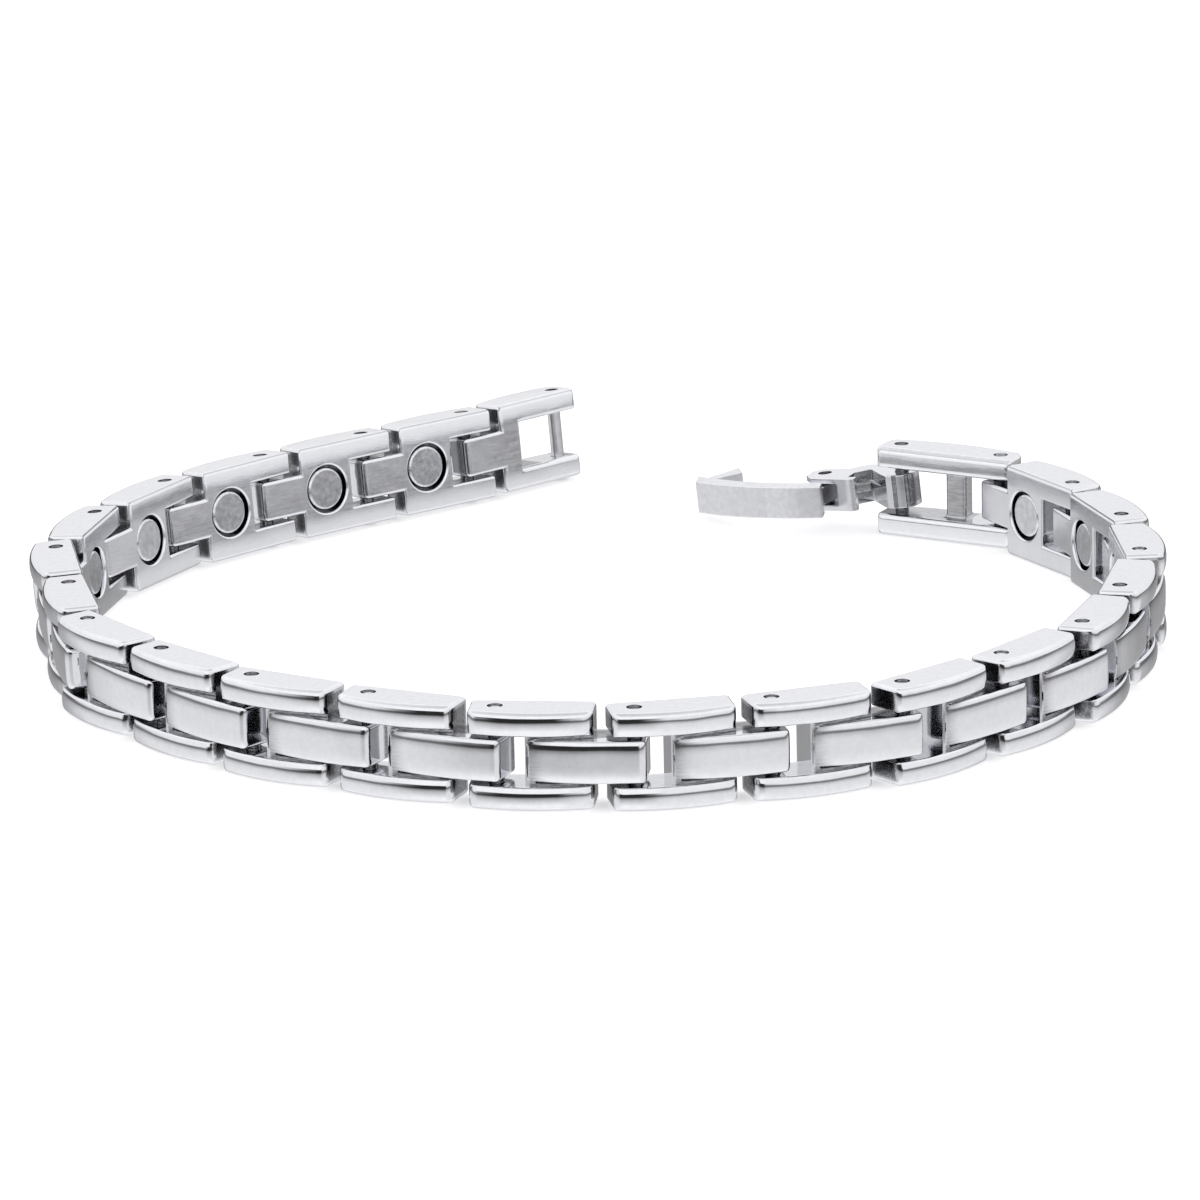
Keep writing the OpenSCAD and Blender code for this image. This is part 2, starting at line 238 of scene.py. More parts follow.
def crowned(low: float, high: float, depth: float, crown: float, margin: float,
            power: float = 2.0) -> list[Corner]:
    """Outline of an upright section whose outer side stands out in the middle.

    Args:
        low: Height of its lower side.
        high: Height of its upper side.
        depth: Its depth behind the crown.
        crown: How far the crown stands out of the edges.
        margin: Straight stretch beside each edge, where the edge's rounding will lie.
        power: Power of the crown's curve, higher for a flatter middle.

    Returns:
        Its corners, each as the depth behind the crown and the height.
    """
    half, middle = (high - low) / 2, (high + low) / 2
    rows = [(half - margin) * step / CROWN_STEPS for step in range(-CROWN_STEPS, CROWN_STEPS + 1)]
    outer = [(crown * abs(row / half) ** power, middle + row) for row in rows]
    return [(depth, low), (crown, low), *outer, (crown, high), (depth, high)]


class Bench:
    """Modelling steps on one mesh object, made with Blender's own operators."""

    def __init__(self, shape: bpy.types.Object) -> None:
        """Takes hold of a mesh object."""
        self.shape = shape

    @staticmethod
    def clear() -> None:
        """Deselects everything and leaves edit mode."""
        if bpy.context.mode != "OBJECT":
            bpy.ops.object.mode_set(mode="OBJECT")
        bpy.ops.object.select_all(action="DESELECT")

    @classmethod
    def block(cls, low: Point, high: Point) -> Bench:
        """Adds a box between two corners.

        Args:
            low: Its lowest corner.
            high: Its highest corner.

        Returns:
            The bench that holds the box.
        """
        cls.clear()
        lowest, highest = Vector(low), Vector(high)
        bpy.ops.mesh.primitive_cube_add(size=1, location=(lowest + highest) / 2,
                                        scale=highest - lowest)
        return cls(bpy.context.object).freeze()

    @classmethod
    def rod(cls, centre: Point, radius: float, length: float, axis: str = "Z",
            sides: int = 32) -> Bench:
        """Adds a cylinder about a centre.

        Args:
            centre: Middle of the cylinder.
            radius: Its radius.
            length: Its length along its axis.
            axis: Name of the axis that it lies along.
            sides: Number of flat sides.

        Returns:
            The bench that holds the cylinder.
        """
        turns = {"X": (0, math.pi / 2, 0), "Y": (math.pi / 2, 0, 0), "Z": (0, 0, 0)}
        cls.clear()
        bpy.ops.mesh.primitive_cylinder_add(vertices=sides, radius=radius, depth=length,
                                            location=centre, rotation=turns[axis])
        return cls(bpy.context.object).freeze()

    @classmethod
    def face(cls, corners: list[Corner]) -> Bench:
        """Adds a flat face by pulling the rim of a filled circle to the given corners.

        Args:
            corners: The face's corners, in order.

        Returns:
            The bench that holds the face.
        """
        cls.clear()
        bpy.ops.mesh.primitive_circle_add(vertices=len(corners), radius=1, fill_type="NGON")
        bench = cls(bpy.context.object)
        for vertex, corner in zip(bench.shape.data.vertices, corners):
            vertex.co = (*corner, 0)
        return bench

    @classmethod
    def prism(cls, corners: list[Corner], low: float, high: float) -> Bench:
        """Extrudes a plan upwards from one height to another.

        Args:
            corners: Corners of the plan, in order.
            low: Height of the lower side.
            high: Height of the upper side.

        Returns:
            The bench that holds the prism.
        """
        bench = cls.face(corners)
        bench.all_of_it()
        bpy.ops.mesh.extrude_region_move(TRANSFORM_OT_translate={"value": (0, 0, high - low)})
        bpy.ops.object.mode_set(mode="OBJECT")
        bench.shape.data.transform(Matrix.Translation((0, 0, low)))
        return bench.tidy()

    @classmethod
    def swept(cls, section: list[Corner], hub: Vector, radius: float, half_len: float,
              margin: float, steps: int = 12) -> Bench:
        """Sweeps an upright section round the centre of an outer face's curve.

        The two ends run on straight, so that no loop of edges lies where an end is rounded.

        Args:
            section: Its corners, each as the depth behind the curve and the height.
            hub: Centre of the curve.
            radius: Radius of the curve.
            half_len: Half the length that the sweep has to cover.
            margin: Length of the straight run at each end.
            steps: Steps of the curve.

        Returns:
            The bench that holds the swept bar, with ends still to be cut.
        """
        turn = math.asin((half_len - margin) / radius)
        inner_r = radius - max(depth for depth, _ in section)
        run = (half_len - inner_r * math.sin(turn)) / math.cos(turn) + OVERLAP
        bench = cls.face(section)
        bench.shape.data.transform(
            Matrix.Translation(hub) @ Matrix.Rotation(-turn, 4, "Z")
            @ Matrix.Translation((0, -radius, 0))
            @ Matrix(((0, 0, 1, 0), (1, 0, 0, 0), (0, 1, 0, 0), (0, 0, 0, 1))))
        bench.all_of_it()
        bpy.ops.mesh.spin(steps=steps, angle=2 * turn, center=hub, axis=(0, 0, -1))
        for side in (1, -1):
            ahead = Vector((side * math.cos(turn), math.sin(turn), 0))
            if side < 0:
                bench.pick(lambda p: abs((p - hub).dot(ahead)) < SAME)
                bpy.ops.object.mode_set(mode="EDIT")
            bpy.ops.mesh.extrude_region_move(TRANSFORM_OT_translate={"value": ahead * run})
            bpy.ops.object.mode_set(mode="OBJECT")
        return bench.tidy()

    def freeze(self) -> Bench:
        """Puts the object's place into its mesh.

        Returns:
            This bench.
        """
        self.shape.data.transform(self.shape.matrix_basis)
        self.shape.matrix_basis = Matrix.Identity(4)
        return self

    def activate(self) -> None:
        """Makes this the only selected object."""
        self.clear()
        self.shape.select_set(True)
        bpy.context.view_layer.objects.active = self.shape

    def all_of_it(self) -> None:
        """Enters edit mode with the whole mesh selected."""
        self.activate()
        bpy.ops.object.mode_set(mode="EDIT")
        bpy.ops.mesh.select_all(action="SELECT")

    def pick(self, wanted: Pick) -> None:
        """Selects the vertices that a test on their place picks out, and nothing else.

        Args:
            wanted: The test.
        """
        self.activate()
        mesh = self.shape.data
        for group in (mesh.polygons, mesh.edges):
            for item in group:
                item.select = False
        for vertex in mesh.vertices:
            vertex.select = wanted(vertex.co)
        bpy.ops.object.mode_set(mode="EDIT")
        bpy.ops.mesh.select_mode(type="VERT")
        bpy.ops.object.mode_set(mode="OBJECT")

    def slice(self, point: Point | Vector, normal: Point | Vector) -> Bench:
        """Cuts off what lies beyond a plane, on the side that its normal points to.

        Args:
            point: A point of the plane.
            normal: The plane's normal.

        Returns:
            This bench.
        """
        self.all_of_it()
        bpy.ops.mesh.bisect(plane_co=point, plane_no=normal, use_fill=True, clear_outer=True,
                            threshold=1e-5)
        bpy.ops.mesh.select_all(action="SELECT")
        bpy.ops.mesh.remove_doubles(threshold=SAME)
        bpy.ops.mesh.normals_make_consistent(inside=False)
        bpy.ops.object.mode_set(mode="OBJECT")
        return self

    def round_corner(self, x: float, inwards: int, hub: Vector, radius: float, corner: float,
                     steps: int = 8) -> Bench:
        """Rounds the upright corner between an end and the outer curve, in narrow facets.

        Args:
            x: Place of the end.
            inwards: 1 at the low end and -1 at the high one.
            hub: Centre of the outer curve.
            radius: Radius of the outer curve.
            corner: Radius of the rounding.
            steps: Number of facets.

        Returns:
            This bench.
        """
        across = x + inwards * corner - hub.x
        centre = hub + Vector((across, -math.sqrt((radius - corner) ** 2 - across ** 2), 0))
        first, last = Vector((-inwards, 0, 0)), (centre - hub).normalized()
        for step in range(1, steps):
            way = first.slerp(last, step / steps)
            self.slice(centre + corner * way, way)
        return self

    def round_edges(self, width_of: Callable[[Vector, Vector, float], float], widest: float,
                    segments: int = 5) -> Bench:
        """Rounds edges, each by its own width.

        Args:
            width_of: Gives an edge's width from its two ends and the angle between its faces.
            widest: The widest rounding.
            segments: Steps across a rounding.

        Returns:
            This bench.
        """
        mesh = self.shape.data
        weights = mesh.attributes.new("bevel_weight_edge", "FLOAT", "EDGE")
        angles = self.edge_angles()
        for edge in mesh.edges:
            first, second = (mesh.vertices[i].co for i in edge.vertices)
            weights.data[edge.index].value = width_of(first, second, angles[edge.index]) / widest
        self.modify("BEVEL", width=widest, segments=segments, limit_method="WEIGHT",
                    use_clamp_overlap=False, loop_slide=True)
        left = mesh.attributes.get("bevel_weight_edge")
        if left:
            mesh.attributes.remove(left)
        return self

    def edge_angles(self) -> list[float]:
        """The angle between the two faces of each edge, in degrees.

        Returns:
            The angles, in the order of the mesh's edges.
        """
        mesh = self.shape.data
        faces: list[list[int]] = [[] for _ in mesh.edges]
        for polygon in mesh.polygons:
            for loop in polygon.loop_indices:
                faces[mesh.loops[loop].edge_index].append(polygon.index)
        found = []
        for pair in faces:
            if len(pair) != 2:
                found.append(180.0)
                continue
            one, other = (mesh.polygons[i].normal for i in pair)
            found.append(math.degrees(one.angle(other, 0.0)))
        return found

    def modify(self, kind: str, **settings: object) -> Bench:
        """Adds a modifier with its settings and applies it.

        Args:
            kind: The modifier's type.
            settings: Its settings.

        Returns:
            This bench.
        """
        self.activate()
        modifier = self.shape.modifiers.new(kind.lower(), kind)
        for name, value in settings.items():
            setattr(modifier, name, value)
        bpy.context.view_layer.update()
        bpy.ops.object.modifier_apply(modifier=modifier.name)
        return self

    def combine(self, other: Bench, operation: str) -> Bench:
        """Joins another shape to this one, or cuts it out, and uses the other up.

        Args:
            other: The shape that is added or taken away.
            operation: UNION or DIFFERENCE.

        Returns:
            This bench.
        """
        self.modify("BOOLEAN", operation=operation, object=other.shape, solver="MANIFOLD")
        bpy.data.objects.remove(other.shape)
        return self

    def add(self, other: Bench) -> Bench:
        """Joins another shape to this one."""
        return self.combine(other, "UNION")

    def cut(self, other: Bench) -> Bench:
        """Cuts another shape out of this one."""
        return self.combine(other, "DIFFERENCE")

    def tidy(self) -> Bench:
        """Merges what lies together and points every face outwards.

        Returns:
            This bench.
        """
        self.all_of_it()
        bpy.ops.mesh.remove_doubles(threshold=1e-3)
        bpy.ops.mesh.dissolve_degenerate(threshold=1e-3)
        bpy.ops.mesh.normals_make_consistent(inside=False)
        bpy.ops.object.mode_set(mode="OBJECT")
        return self

    def finish(self, sharp: float = 35.0) -> Bench:
        """Shades the piece smooth up to an angle and records its own coordinates.

        Args:
            sharp: An edge with more than this between its faces, in degrees, stays sharp.

        Returns:
            This bench.
        """
        self.activate()
        bpy.ops.object.shade_smooth_by_angle(angle=math.radians(sharp))
        mesh = self.shape.data
        own = mesh.attributes.new(LOCAL, "FLOAT_VECTOR", "POINT")
        for vertex in mesh.vertices:
            own.data[vertex.index].vector = vertex.co
        return self.modify("WEIGHTED_NORMAL", keep_sharp=True, weight=50)

    def turned(self, matrix: Matrix) -> Bench:
        """Moves the mesh by a matrix."""
        self.shape.data.transform(matrix)
        return self

    def copy(self) -> Bench:
        """A copy with its own mesh.

        Returns:
            The bench that holds the copy.
        """
        copy = self.shape.copy()
        copy.data = self.shape.data.copy()
        bpy.context.scene.collection.objects.link(copy)
        return Bench(copy)

    def turn_over(self) -> Bench:
        """Mirrors the shape about mid height and points its faces outwards again."""
        return self.turned(Matrix.Scale(-1, 4, (0, 0, 1))).tidy()

    def gather(self, others: list[Bench]) -> Bench:
        """Makes other shapes loose parts of this one.

        Args:
            others: The shapes that join it.

        Returns:
            This bench.
        """
        self.activate()
        for other in others:
            other.shape.select_set(True)
        bpy.ops.object.join()
        return self

    def name(self, name: str) -> bpy.types.Object:
        """Names the finished piece and its mesh.

        Args:
            name: The piece's name.

        Returns:
            The named object.
        """
        self.shape.name = name
        self.shape.data.name = name
        return self.shape

    def discard(self) -> None:
        """Removes the shape from the scene."""
        bpy.data.objects.remove(self.shape)


class Wire:
    """A shader socket that takes part in Python expressions."""

    def __init__(self, desk: Desk, socket: bpy.types.NodeSocket) -> None:
        """Wraps an output socket."""
        self.desk = desk
        self.socket = socket

    def _math(self, operation: str, *values: object) -> Wire:
        """Adds a Math node."""
        return self.desk.node("ShaderNodeMath", {"operation": operation}, dict(enumerate(values)))

    def __add__(self, other: object) -> Wire:
        """Sum."""
        return self._math("ADD", self, other)

    __radd__ = __add__

    def __sub__(self, other: object) -> Wire:
        """Difference."""
        return self._math("SUBTRACT", self, other)

    def __rsub__(self, other: object) -> Wire:
        """Difference, with the number first."""
        return self._math("SUBTRACT", other, self)

    def __mul__(self, other: object) -> Wire:
        """Product."""
        return self._math("MULTIPLY", self, other)

    __rmul__ = __mul__

    def __truediv__(self, other: object) -> Wire:
        """Quotient."""
        return self._math("DIVIDE", self, other)

    def __pow__(self, other: object) -> Wire:
        """Power."""
        return self._math("POWER", self, other)

    def __abs__(self) -> Wire:
        """Size without sign."""
        return self._math("ABSOLUTE", self)

    def least(self, other: object) -> Wire:
        """The smaller of two values."""
        return self._math("MINIMUM", self, other)

    def most(self, other: object) -> Wire:
        """The larger of two values."""
        return self._math("MAXIMUM", self, other)

    def angle(self, other: object) -> Wire:
        """Angle of the vector with this value across and the other ahead, in radians."""
        return self._math("ARCTAN2", self, other)

    def ramp(self, low: float, high: float) -> Wire:
        """Smooth step from 0 at low to 1 at high."""
        return self.desk.node("ShaderNodeMapRange", {"interpolation_type": "SMOOTHSTEP"},
                              {0: self, 1: low, 2: high})


Rgb = tuple[float, float, float, float]


class Desk:
    """A node tree under construction."""

    def __init__(self, tree: bpy.types.NodeTree) -> None:
        """Empties the tree."""
        self.tree = tree
        tree.nodes.clear()

    def node(self, kind: str, settings: dict[str, object] | None = None,
             values: dict[object, object] | None = None, output: object = 0) -> Wire:
        """Adds any node.

        Args:
            kind: The node's type.
            settings: Its own settings, set first. A ramp's stops are given as stops.
            values: Values or links of its sockets, by number or name.
            output: The output socket that is wanted.

        Returns:
            That output, ready for expressions.
        """
        made = self.tree.nodes.new(kind)
        for name, value in (settings or {}).items():
            if name == "stops":
                self._set_stops(made.color_ramp, value)
            else:
                setattr(made, name, value)
        for key, value in (values or {}).items():
            if isinstance(value, Wire):
                self.tree.links.new(value.socket, made.inputs[key])
            else:
                made.inputs[key].default_value = value
        return Wire(self, made.outputs[output]) if made.outputs else Wire(self, None)

    @staticmethod
    def _set_stops(color_ramp: bpy.types.ColorRamp, stops: list[tuple[float, Rgb]]) -> None:
        """Gives a ramp its stops.

        Args:
            color_ramp: The ramp.
            stops: Its stops, each as a position and a colour.
        """
        while len(color_ramp.elements) > 1:
            color_ramp.elements.remove(color_ramp.elements[-1])
        color_ramp.elements[0].position, color_ramp.elements[0].color = stops[0]
        for position, color in stops[1:]:
            color_ramp.elements.new(position).color = color

    def parts(self, vector: Wire) -> tuple[Wire, ...]:
        """A vector's x, y and z."""
        made = self.node("ShaderNodeSeparateXYZ", values={0: vector}).socket.node
        return tuple(Wire(self, output) for output in made.outputs)

    def own(self) -> Wire:
        """The piece's own coordinates, in millimetres."""
        return self.node("ShaderNodeAttribute", {"attribute_name": LOCAL}, output="Vector")

    def place(self, scale: float) -> Wire:
        """Object coordinates, stretched by a scale."""
        spot = self.node("ShaderNodeTexCoord", output="Object")
        return self.node("ShaderNodeVectorMath", {"operation": "SCALE"},
                         {0: spot, "Scale": scale})

    def noise(self, vector: Wire, scale: float, detail: float, roughness: float = 0.5) -> Wire:
        """Soft noise from 0 to 1."""
        return self.node("ShaderNodeTexNoise", values={
            "Vector": vector, "Scale": scale, "Detail": detail, "Roughness": roughness})

    def stretch(self, vector: Wire, by: Point) -> Wire:
        """A vector with each of its parts multiplied."""
        return self.node("ShaderNodeVectorMath", {"operation": "MULTIPLY"}, {0: vector, 1: by})

    def blend(self, mask: object, first: object, second: object, kind: str = "MIX") -> Wire:
        """Two colours mixed by a mask."""
        return self.node("ShaderNodeMix", {"data_type": "RGBA", "blend_type": kind},
                         {0: mask, 6: first, 7: second}, output=2)


@dataclass(frozen=True)
class Metal:
    """A metal finish, with all lengths in millimetres of the piece's own frame.

    The polished outer side curves with radius arc_r about middle, and its crown lies the distance
    back from the line of the pins. The brushed inner side starts at inner_from, inner_depth
    before its plane. It has streaks, with grain cycles per millimetre along and across, and falls
    back by belly over roll_width at the upper and lower edges. Walls deeper than gap_depths get
    painted shade, with less of it along slot. Each of the holes is a place along the piece with
    the radius inside which painted shade darkens it. The cast faces have a slow waviness, and
    scuff is their fine scratches.
    """

    name: str
    polished: Rgb = (0.92, 0.925, 0.955, 1)
    inner: Rgb = (0.92, 0.925, 0.955, 1)
    polish_rough: float = 0.06
    inner_rough: float = 0.2
    inner_from: float = 1.05
    waviness: float = 0.05
    scuff: float = 0.0015
    grain: tuple[float, float] = (0.5, 5.0)
    patchy: float = 0.06
    middle: float = 2.25
    back: float = 1.95
    arc_r: float = 13.0
    half: float = 3.1
    holes: tuple[tuple[float, float], ...] = ((0.0, 0.55),)
    slot: tuple[float, float] = (-0.2, 2.2)
    # How dark the painted shade in deep walls and holes is.
    crevice_shade: float = 0.75
    belly: float = 0.16
    inner_depth: float = 0.15
    gap_depths: tuple[float, float] = (0.18, 0.5)
    # How much of the painted shade the walls along the slot lose.
    slot_shade_cut: float = 0.7
    hole_rim: float = 0.03
    hole_depths: tuple[float, float] = (0.01, 0.05)
    slow_scale: float = 0.35
    cloud_scale: float = 2.4
    roll_width: float = 1.5

    def make(self) -> bpy.types.Material:
        """Builds the material.

        Returns:
            The material.
        """
        material = bpy.data.materials.new(self.name)
        material.use_nodes = True
        desk = Desk(material.node_tree)
        own = desk.own()
        onward, inward, upward = desk.parts(own)
        spot = desk.place(1 / MM)
        level = abs(upward)
        outer = (onward - self.middle) ** 2.0 / (2 * self.arc_r) - self.back
        face = self.inner_from + self.inner_depth
        depth = (inward - outer).least(face - inward).least(self.half - level)
        low, high = self.slot
        # Painted shade: walls deeper than gap_depths are darkened, with less of it along the
        # slot.
        shade_cut = onward.ramp(low - 0.2, low + 0.2) * (1 - onward.ramp(high - 0.1, high + 0.1))
        shaded_depth = depth.ramp(*self.gap_depths) * (1 - shade_cut * self.slot_shade_cut)
        # Painted shade inside each hole, past a thin rim.
        for hole, radius in self.holes:
            off = ((onward - hole) ** 2.0 + inward ** 2.0) ** 0.5
            hole_shade = (radius - off).ramp(0.0, self.hole_rim) * depth.ramp(*self.hole_depths)
            shaded_depth = 1 - (1 - shaded_depth) * (1 - hole_shade)
        along, across = self.grain
        inner = inward.ramp(self.inner_from, self.inner_from + 0.1)
        slow = desk.noise(spot, self.slow_scale, 1.0)
        cloud = desk.noise(spot, self.cloud_scale, 4.0, 0.6)
        streak = desk.noise(desk.stretch(own, (along, across, across)), 1.0, 4.0, 0.6)
        fine = desk.noise(desk.stretch(own, (2 * along, 1.5 * across, 1.5 * across)), 1.0, 2.0)
        patch = cloud.ramp(0.3, 0.7) * (1 - inner * 0.4) + streak.ramp(0.35, 0.7) * inner * 0.4
        shade = 1 - self.patchy
        mottle = desk.blend(patch, (shade, shade, shade * 1.005, 1), (1, 1, 1, 1))
        tone = desk.blend(inner, self.polished, self.inner)
        # The painted shade darkens the base colour, its strength varied by fine noise.
        dark = 1 - shaded_depth * self.crevice_shade * (0.7 + fine.ramp(0.35, 0.6) * 0.3)
        shaded = desk.node("ShaderNodeCombineXYZ", values={0: dark, 1: dark, 2: dark})
        color = desk.blend(1.0, desk.blend(1.0, tone, mottle, "MULTIPLY"), shaded, "MULTIPLY")
        rough = (self.polish_rough + (cloud - 0.5) * 0.08 + shaded_depth * 0.15
                 + inner * (self.inner_rough - self.polish_rough + (streak - 0.5) * 0.25))
        past = (level - self.half + self.roll_width) / self.roll_width
        roll = past.most(0.0) ** 2.0 * self.belly * inner
        height = slow * self.waviness + (fine - 0.5) * self.scuff * (0.4 + inner * 2.0) - roll
        bump = desk.node("ShaderNodeBump", values={
            "Strength": 1.0, "Distance": MM, "Height": height})
        shader = desk.node("ShaderNodeBsdfPrincipled", values={
            "Base Color": color, "Metallic": 1.0, "Roughness": rough, "Normal": bump})
        desk.node("ShaderNodeOutputMaterial", values={"Surface": shader})
        return material


@dataclass(frozen=True)
class Edge:
    """An edge of a cast body between two ends, with the angle between its faces in degrees."""

    first: Vector
    second: Vector
    angle: float

    @property
    def middle(self) -> Vector:
        """Its middle."""
        return (self.first + self.second) / 2

    def runs(self, axis: int) -> bool:
        """Whether it runs along an axis, give or take."""
        run = self.second - self.first
        return abs(run[axis]) > 0.8 * run.length

    def at(self, axis: int, *places: float) -> bool:
        """Whether both its ends lie at one of some places along an axis."""
        return any(abs(self.first[axis] - place) < NEAR and abs(self.second[axis] - place) < NEAR
                   for place in places)


@dataclass(frozen=True)
class Rails:
    """The two rails along the edges of a cast piece, from low to high along the chain.

    Their inner side lies at face and the crown of their outer side at back, both from the line of
    the pins, and the outer side curves with radius arc_r. The corners round it in plan at each
    end, in facets where they are larger than faceted_from. The rounds are for the long edges of
    the outer and the inner side, for the inner side's edges where the rails face each other, and
    for the ends' upper and lower edges. A zone is how far behind the outer side's edges a kind of
    edge is looked for.
    """

    band: Band
    low: float
    high: float
    face: float
    back: float
    arc_r: float
    low_corner: float = 0.48
    high_corner: float = 0.48
    crown: float = 0.14
    outer_round: float = 0.28
    inner_round: float = 0.3
    facing_round: float = 0.15
    end_round: float = 0.28
    faceted_from: float = 0.5
    edge_margin: float = 0.02
    corner_margin: float = 0.12
    corner_zone: float = 0.05
    facing_zone: float = 0.15
    top_zone: float = 0.8
    facing_share: float = 0.5
    end_facing_share: float = 0.6

    @property
    def hub(self) -> Vector:
        """Centre of the outer side's curve."""
        return Vector(((self.low + self.high) / 2, self.arc_r - self.back, 0))

    def curve_y(self, x: float) -> float:
        """Place of the outer side's crown at some place along the piece."""
        return self.hub.y - math.sqrt(self.arc_r ** 2 - (x - self.hub.x) ** 2)

    def bar(self) -> Bench:
        """The upper rail, its edges still sharp.

        Returns:
            The bench that holds the rail.
        """
        band = self.band
        section = crowned(band.rail_in, band.height / 2, SECTION_DEPTH * band.thickness,
                          self.crown, self.outer_round + self.edge_margin)
        margin = max(self.low_corner, self.high_corner) + self.corner_margin
        bar = Bench.swept(section, self.hub, self.arc_r, (self.high - self.low) / 2, margin)
        bar.slice((self.low, 0, 0), (-1, 0, 0)).slice((self.high, 0, 0), (1, 0, 0))
        ends = ((self.low, 1, self.low_corner), (self.high, -1, self.high_corner))
        for x, inwards, corner in ends:
            if corner > self.faceted_from:
                bar.round_corner(x, inwards, self.hub, self.arc_r, corner)
        return bar

    def outside(self, edge: Edge, zone: float) -> bool:
        """Whether an edge lies in a zone behind the outer side's edges, or out past it."""
        return edge.middle.y < self.curve_y(edge.middle.x) + self.crown + zone

    def width(self, edge: Edge) -> float:
        """Rounding of an edge of the rails, and 0 for any other edge.

        Args:
            edge: The edge.

        Returns:
            The width of its rounding, in millimetres.
        """
        half, rail_in = self.band.height / 2, self.band.rail_in
        on_top, on_facing = edge.at(2, half, -half), edge.at(2, rail_in, -rail_in)
        inner = edge.at(1, self.face)
        at_end = edge.at(0, self.low, self.high)
        if inner and on_top:
            return self.inner_round
        if inner and on_facing:
            return self.facing_round
        if at_end and inner:
            return self.facing_round if edge.runs(2) else 0.0
        if at_end and edge.runs(2):
            corner = self.low_corner if edge.at(0, self.low) else self.high_corner
            whole = corner <= self.faceted_from and self.outside(edge, self.corner_zone)
            return corner if whole else 0.0
        if at_end:
            share = 1.0 if on_top else self.end_facing_share if on_facing else 0.0
            return share * self.end_round
        if on_top and self.outside(edge, self.top_zone):
            return self.outer_round
        past_corner = (edge.middle.x - self.low < self.low_corner
                       or self.high - edge.middle.x < self.high_corner)
        near = on_facing and (past_corner or self.outside(edge, self.facing_zone))
        return self.facing_share * self.outer_round if near else 0.0


@dataclass(frozen=True)
class Link:
    """One cast link of the chain.

    Its arms reach past their pin, the slot between them ends at slot_reach, and its tongue
    reaches past the other pin by nose_reach. The brick is the tongue's outer side. It starts
    brick_inset past the slot's end, lies brick_sink behind the rails' crown, and has grooves
    beside it. The tip is the tongue's end. A pocket_d of 0 is for a link without a magnet.
    """

    band: Band
    pitch: float
    arm_reach: float
    slot_reach: float
    arm_pin_d: float
    arm_corner: float = 0.48
    inner_round: float = 0.3
    facing_round: float = 0.2
    pocket_d: float = 3.3
    pocket_depth: float = 1.4
    nose_reach: float = 0.85
    tongue_play: float = 0.25
    brick_inset: float = 0.1
    brick_sink: float = 0.1
    brick_arc_r: float = 25.0
    brick_crown: float = 0.13
    brick_power: float = 4.0
    brick_margin: float = 0.32
    brick_round: float = 0.16
    brick_end_round: float = 0.2
    tongue_margin: float = 0.5
    tongue_round: float = 0.25
    tip_inner_round: float = 0.42
    tip_outer_round: float = 0.4
    tip_side_round: float = 0.3
    groove_depth: float = 0.45
    core_margin: float = 0.45
    pocket_round: float = 0.15
    hole_r: float = 0.5
    hole_spread: float = 0.06
    hole_level: float = 2.9
    hole_round: float = 0.04

    @property
    def rails(self) -> Rails:
        """Its rails."""
        band = self.band
        return Rails(band, -self.arm_reach, self.rail_end, band.pin_depth, band.back, band.arc_r,
                     self.arm_corner, inner_round=self.inner_round,
                     facing_round=self.facing_round)

    @property
    def rail_end(self) -> float:
        """Where its rails end along the chain."""
        return self.pitch - self.band.arm_reach - self.band.rail_gap

    @property
    def magnet_x(self) -> float:
        """Middle of the magnet's pocket along the chain."""
        return (self.slot_reach + self.rail_end) / 2

    @property
    def brick_ends(self) -> tuple[float, float]:
        """Where the brick starts and where the tongue ends."""
        return self.slot_reach + self.brick_inset, self.pitch + self.nose_reach

    @property
    def brick_half(self) -> float:
        """Half the height of the brick and the tongue."""
        return self.band.rail_in - self.tongue_play

    @property
    def brick_hub(self) -> Vector:
        """Centre of the brick's curve."""
        return Vector((sum(self.brick_ends) / 2,
                       self.brick_arc_r - self.band.back + self.brick_sink, 0))

    def core(self) -> Bench:
        """What fills the space between the rails, behind the brick.

        Returns:
            The bench that holds the core.
        """
        rails, reach = self.rails, self.band.rail_in + OVERLAP
        depth = SECTION_DEPTH * self.band.thickness - self.groove_depth
        section = [(0, -reach), (0, reach), (depth, reach), (depth, -reach)]
        bar = Bench.swept(section, rails.hub, self.band.arc_r - self.groove_depth,
                          (rails.high - rails.low) / 2, self.core_margin)
        return bar.slice((self.slot_reach, 0, 0), (-1, 0, 0)).slice((rails.high, 0, 0), (1, 0, 0))

    def brick(self) -> Bench:
        """The brick on the outer side, which runs on as the tongue, its edges still sharp.

        Returns:
            The bench that holds the brick.
        """
        low, high = self.brick_ends
        depth = SECTION_DEPTH * self.band.thickness
        section = crowned(-self.brick_half, self.brick_half, depth, self.brick_crown,
                          self.brick_margin, self.brick_power)
        bar = Bench.swept(section, self.brick_hub, self.brick_arc_r, (high - low) / 2,
                          self.tongue_margin)
        return bar.slice((low, 0, 0), (-1, 0, 0)).slice((high, 0, 0), (1, 0, 0))

    def model(self) -> Bench:
        """The whole link, drilled for its pins and its magnet.

        Returns:
            The bench that holds the link.
        """
        band = self.band
        body = self.rails.bar()
        lower = body.copy().turn_over()
        body.add(self.core()).add(lower).add(self.brick())
        body.slice((0, band.pin_depth, 0), (0, 1, 0))
        body.round_edges(lambda a, b, angle: self.edge_width(Edge(a, b, angle)), WIDEST)
        tall = band.height + 2
        body.cut(Bench.rod((0, 0, 0), self.arm_pin_d / 2 + band.pin_hold, tall))
        body.cut(Bench.rod((self.pitch, 0, 0), band.pin_d / 2 + band.pin_play, tall))
        if self.pocket_d:
            floor_y = band.pin_depth - self.pocket_depth
            body.cut(Bench.rod((self.magnet_x, floor_y + 1, 0), self.pocket_d / 2, 2.0, "Y", 64))
        body.tidy()
        body.round_edges(lambda a, b, angle: self.mouth_width(Edge(a, b, angle)), widest=0.2,
                         segments=3)
        return body.tidy().finish()

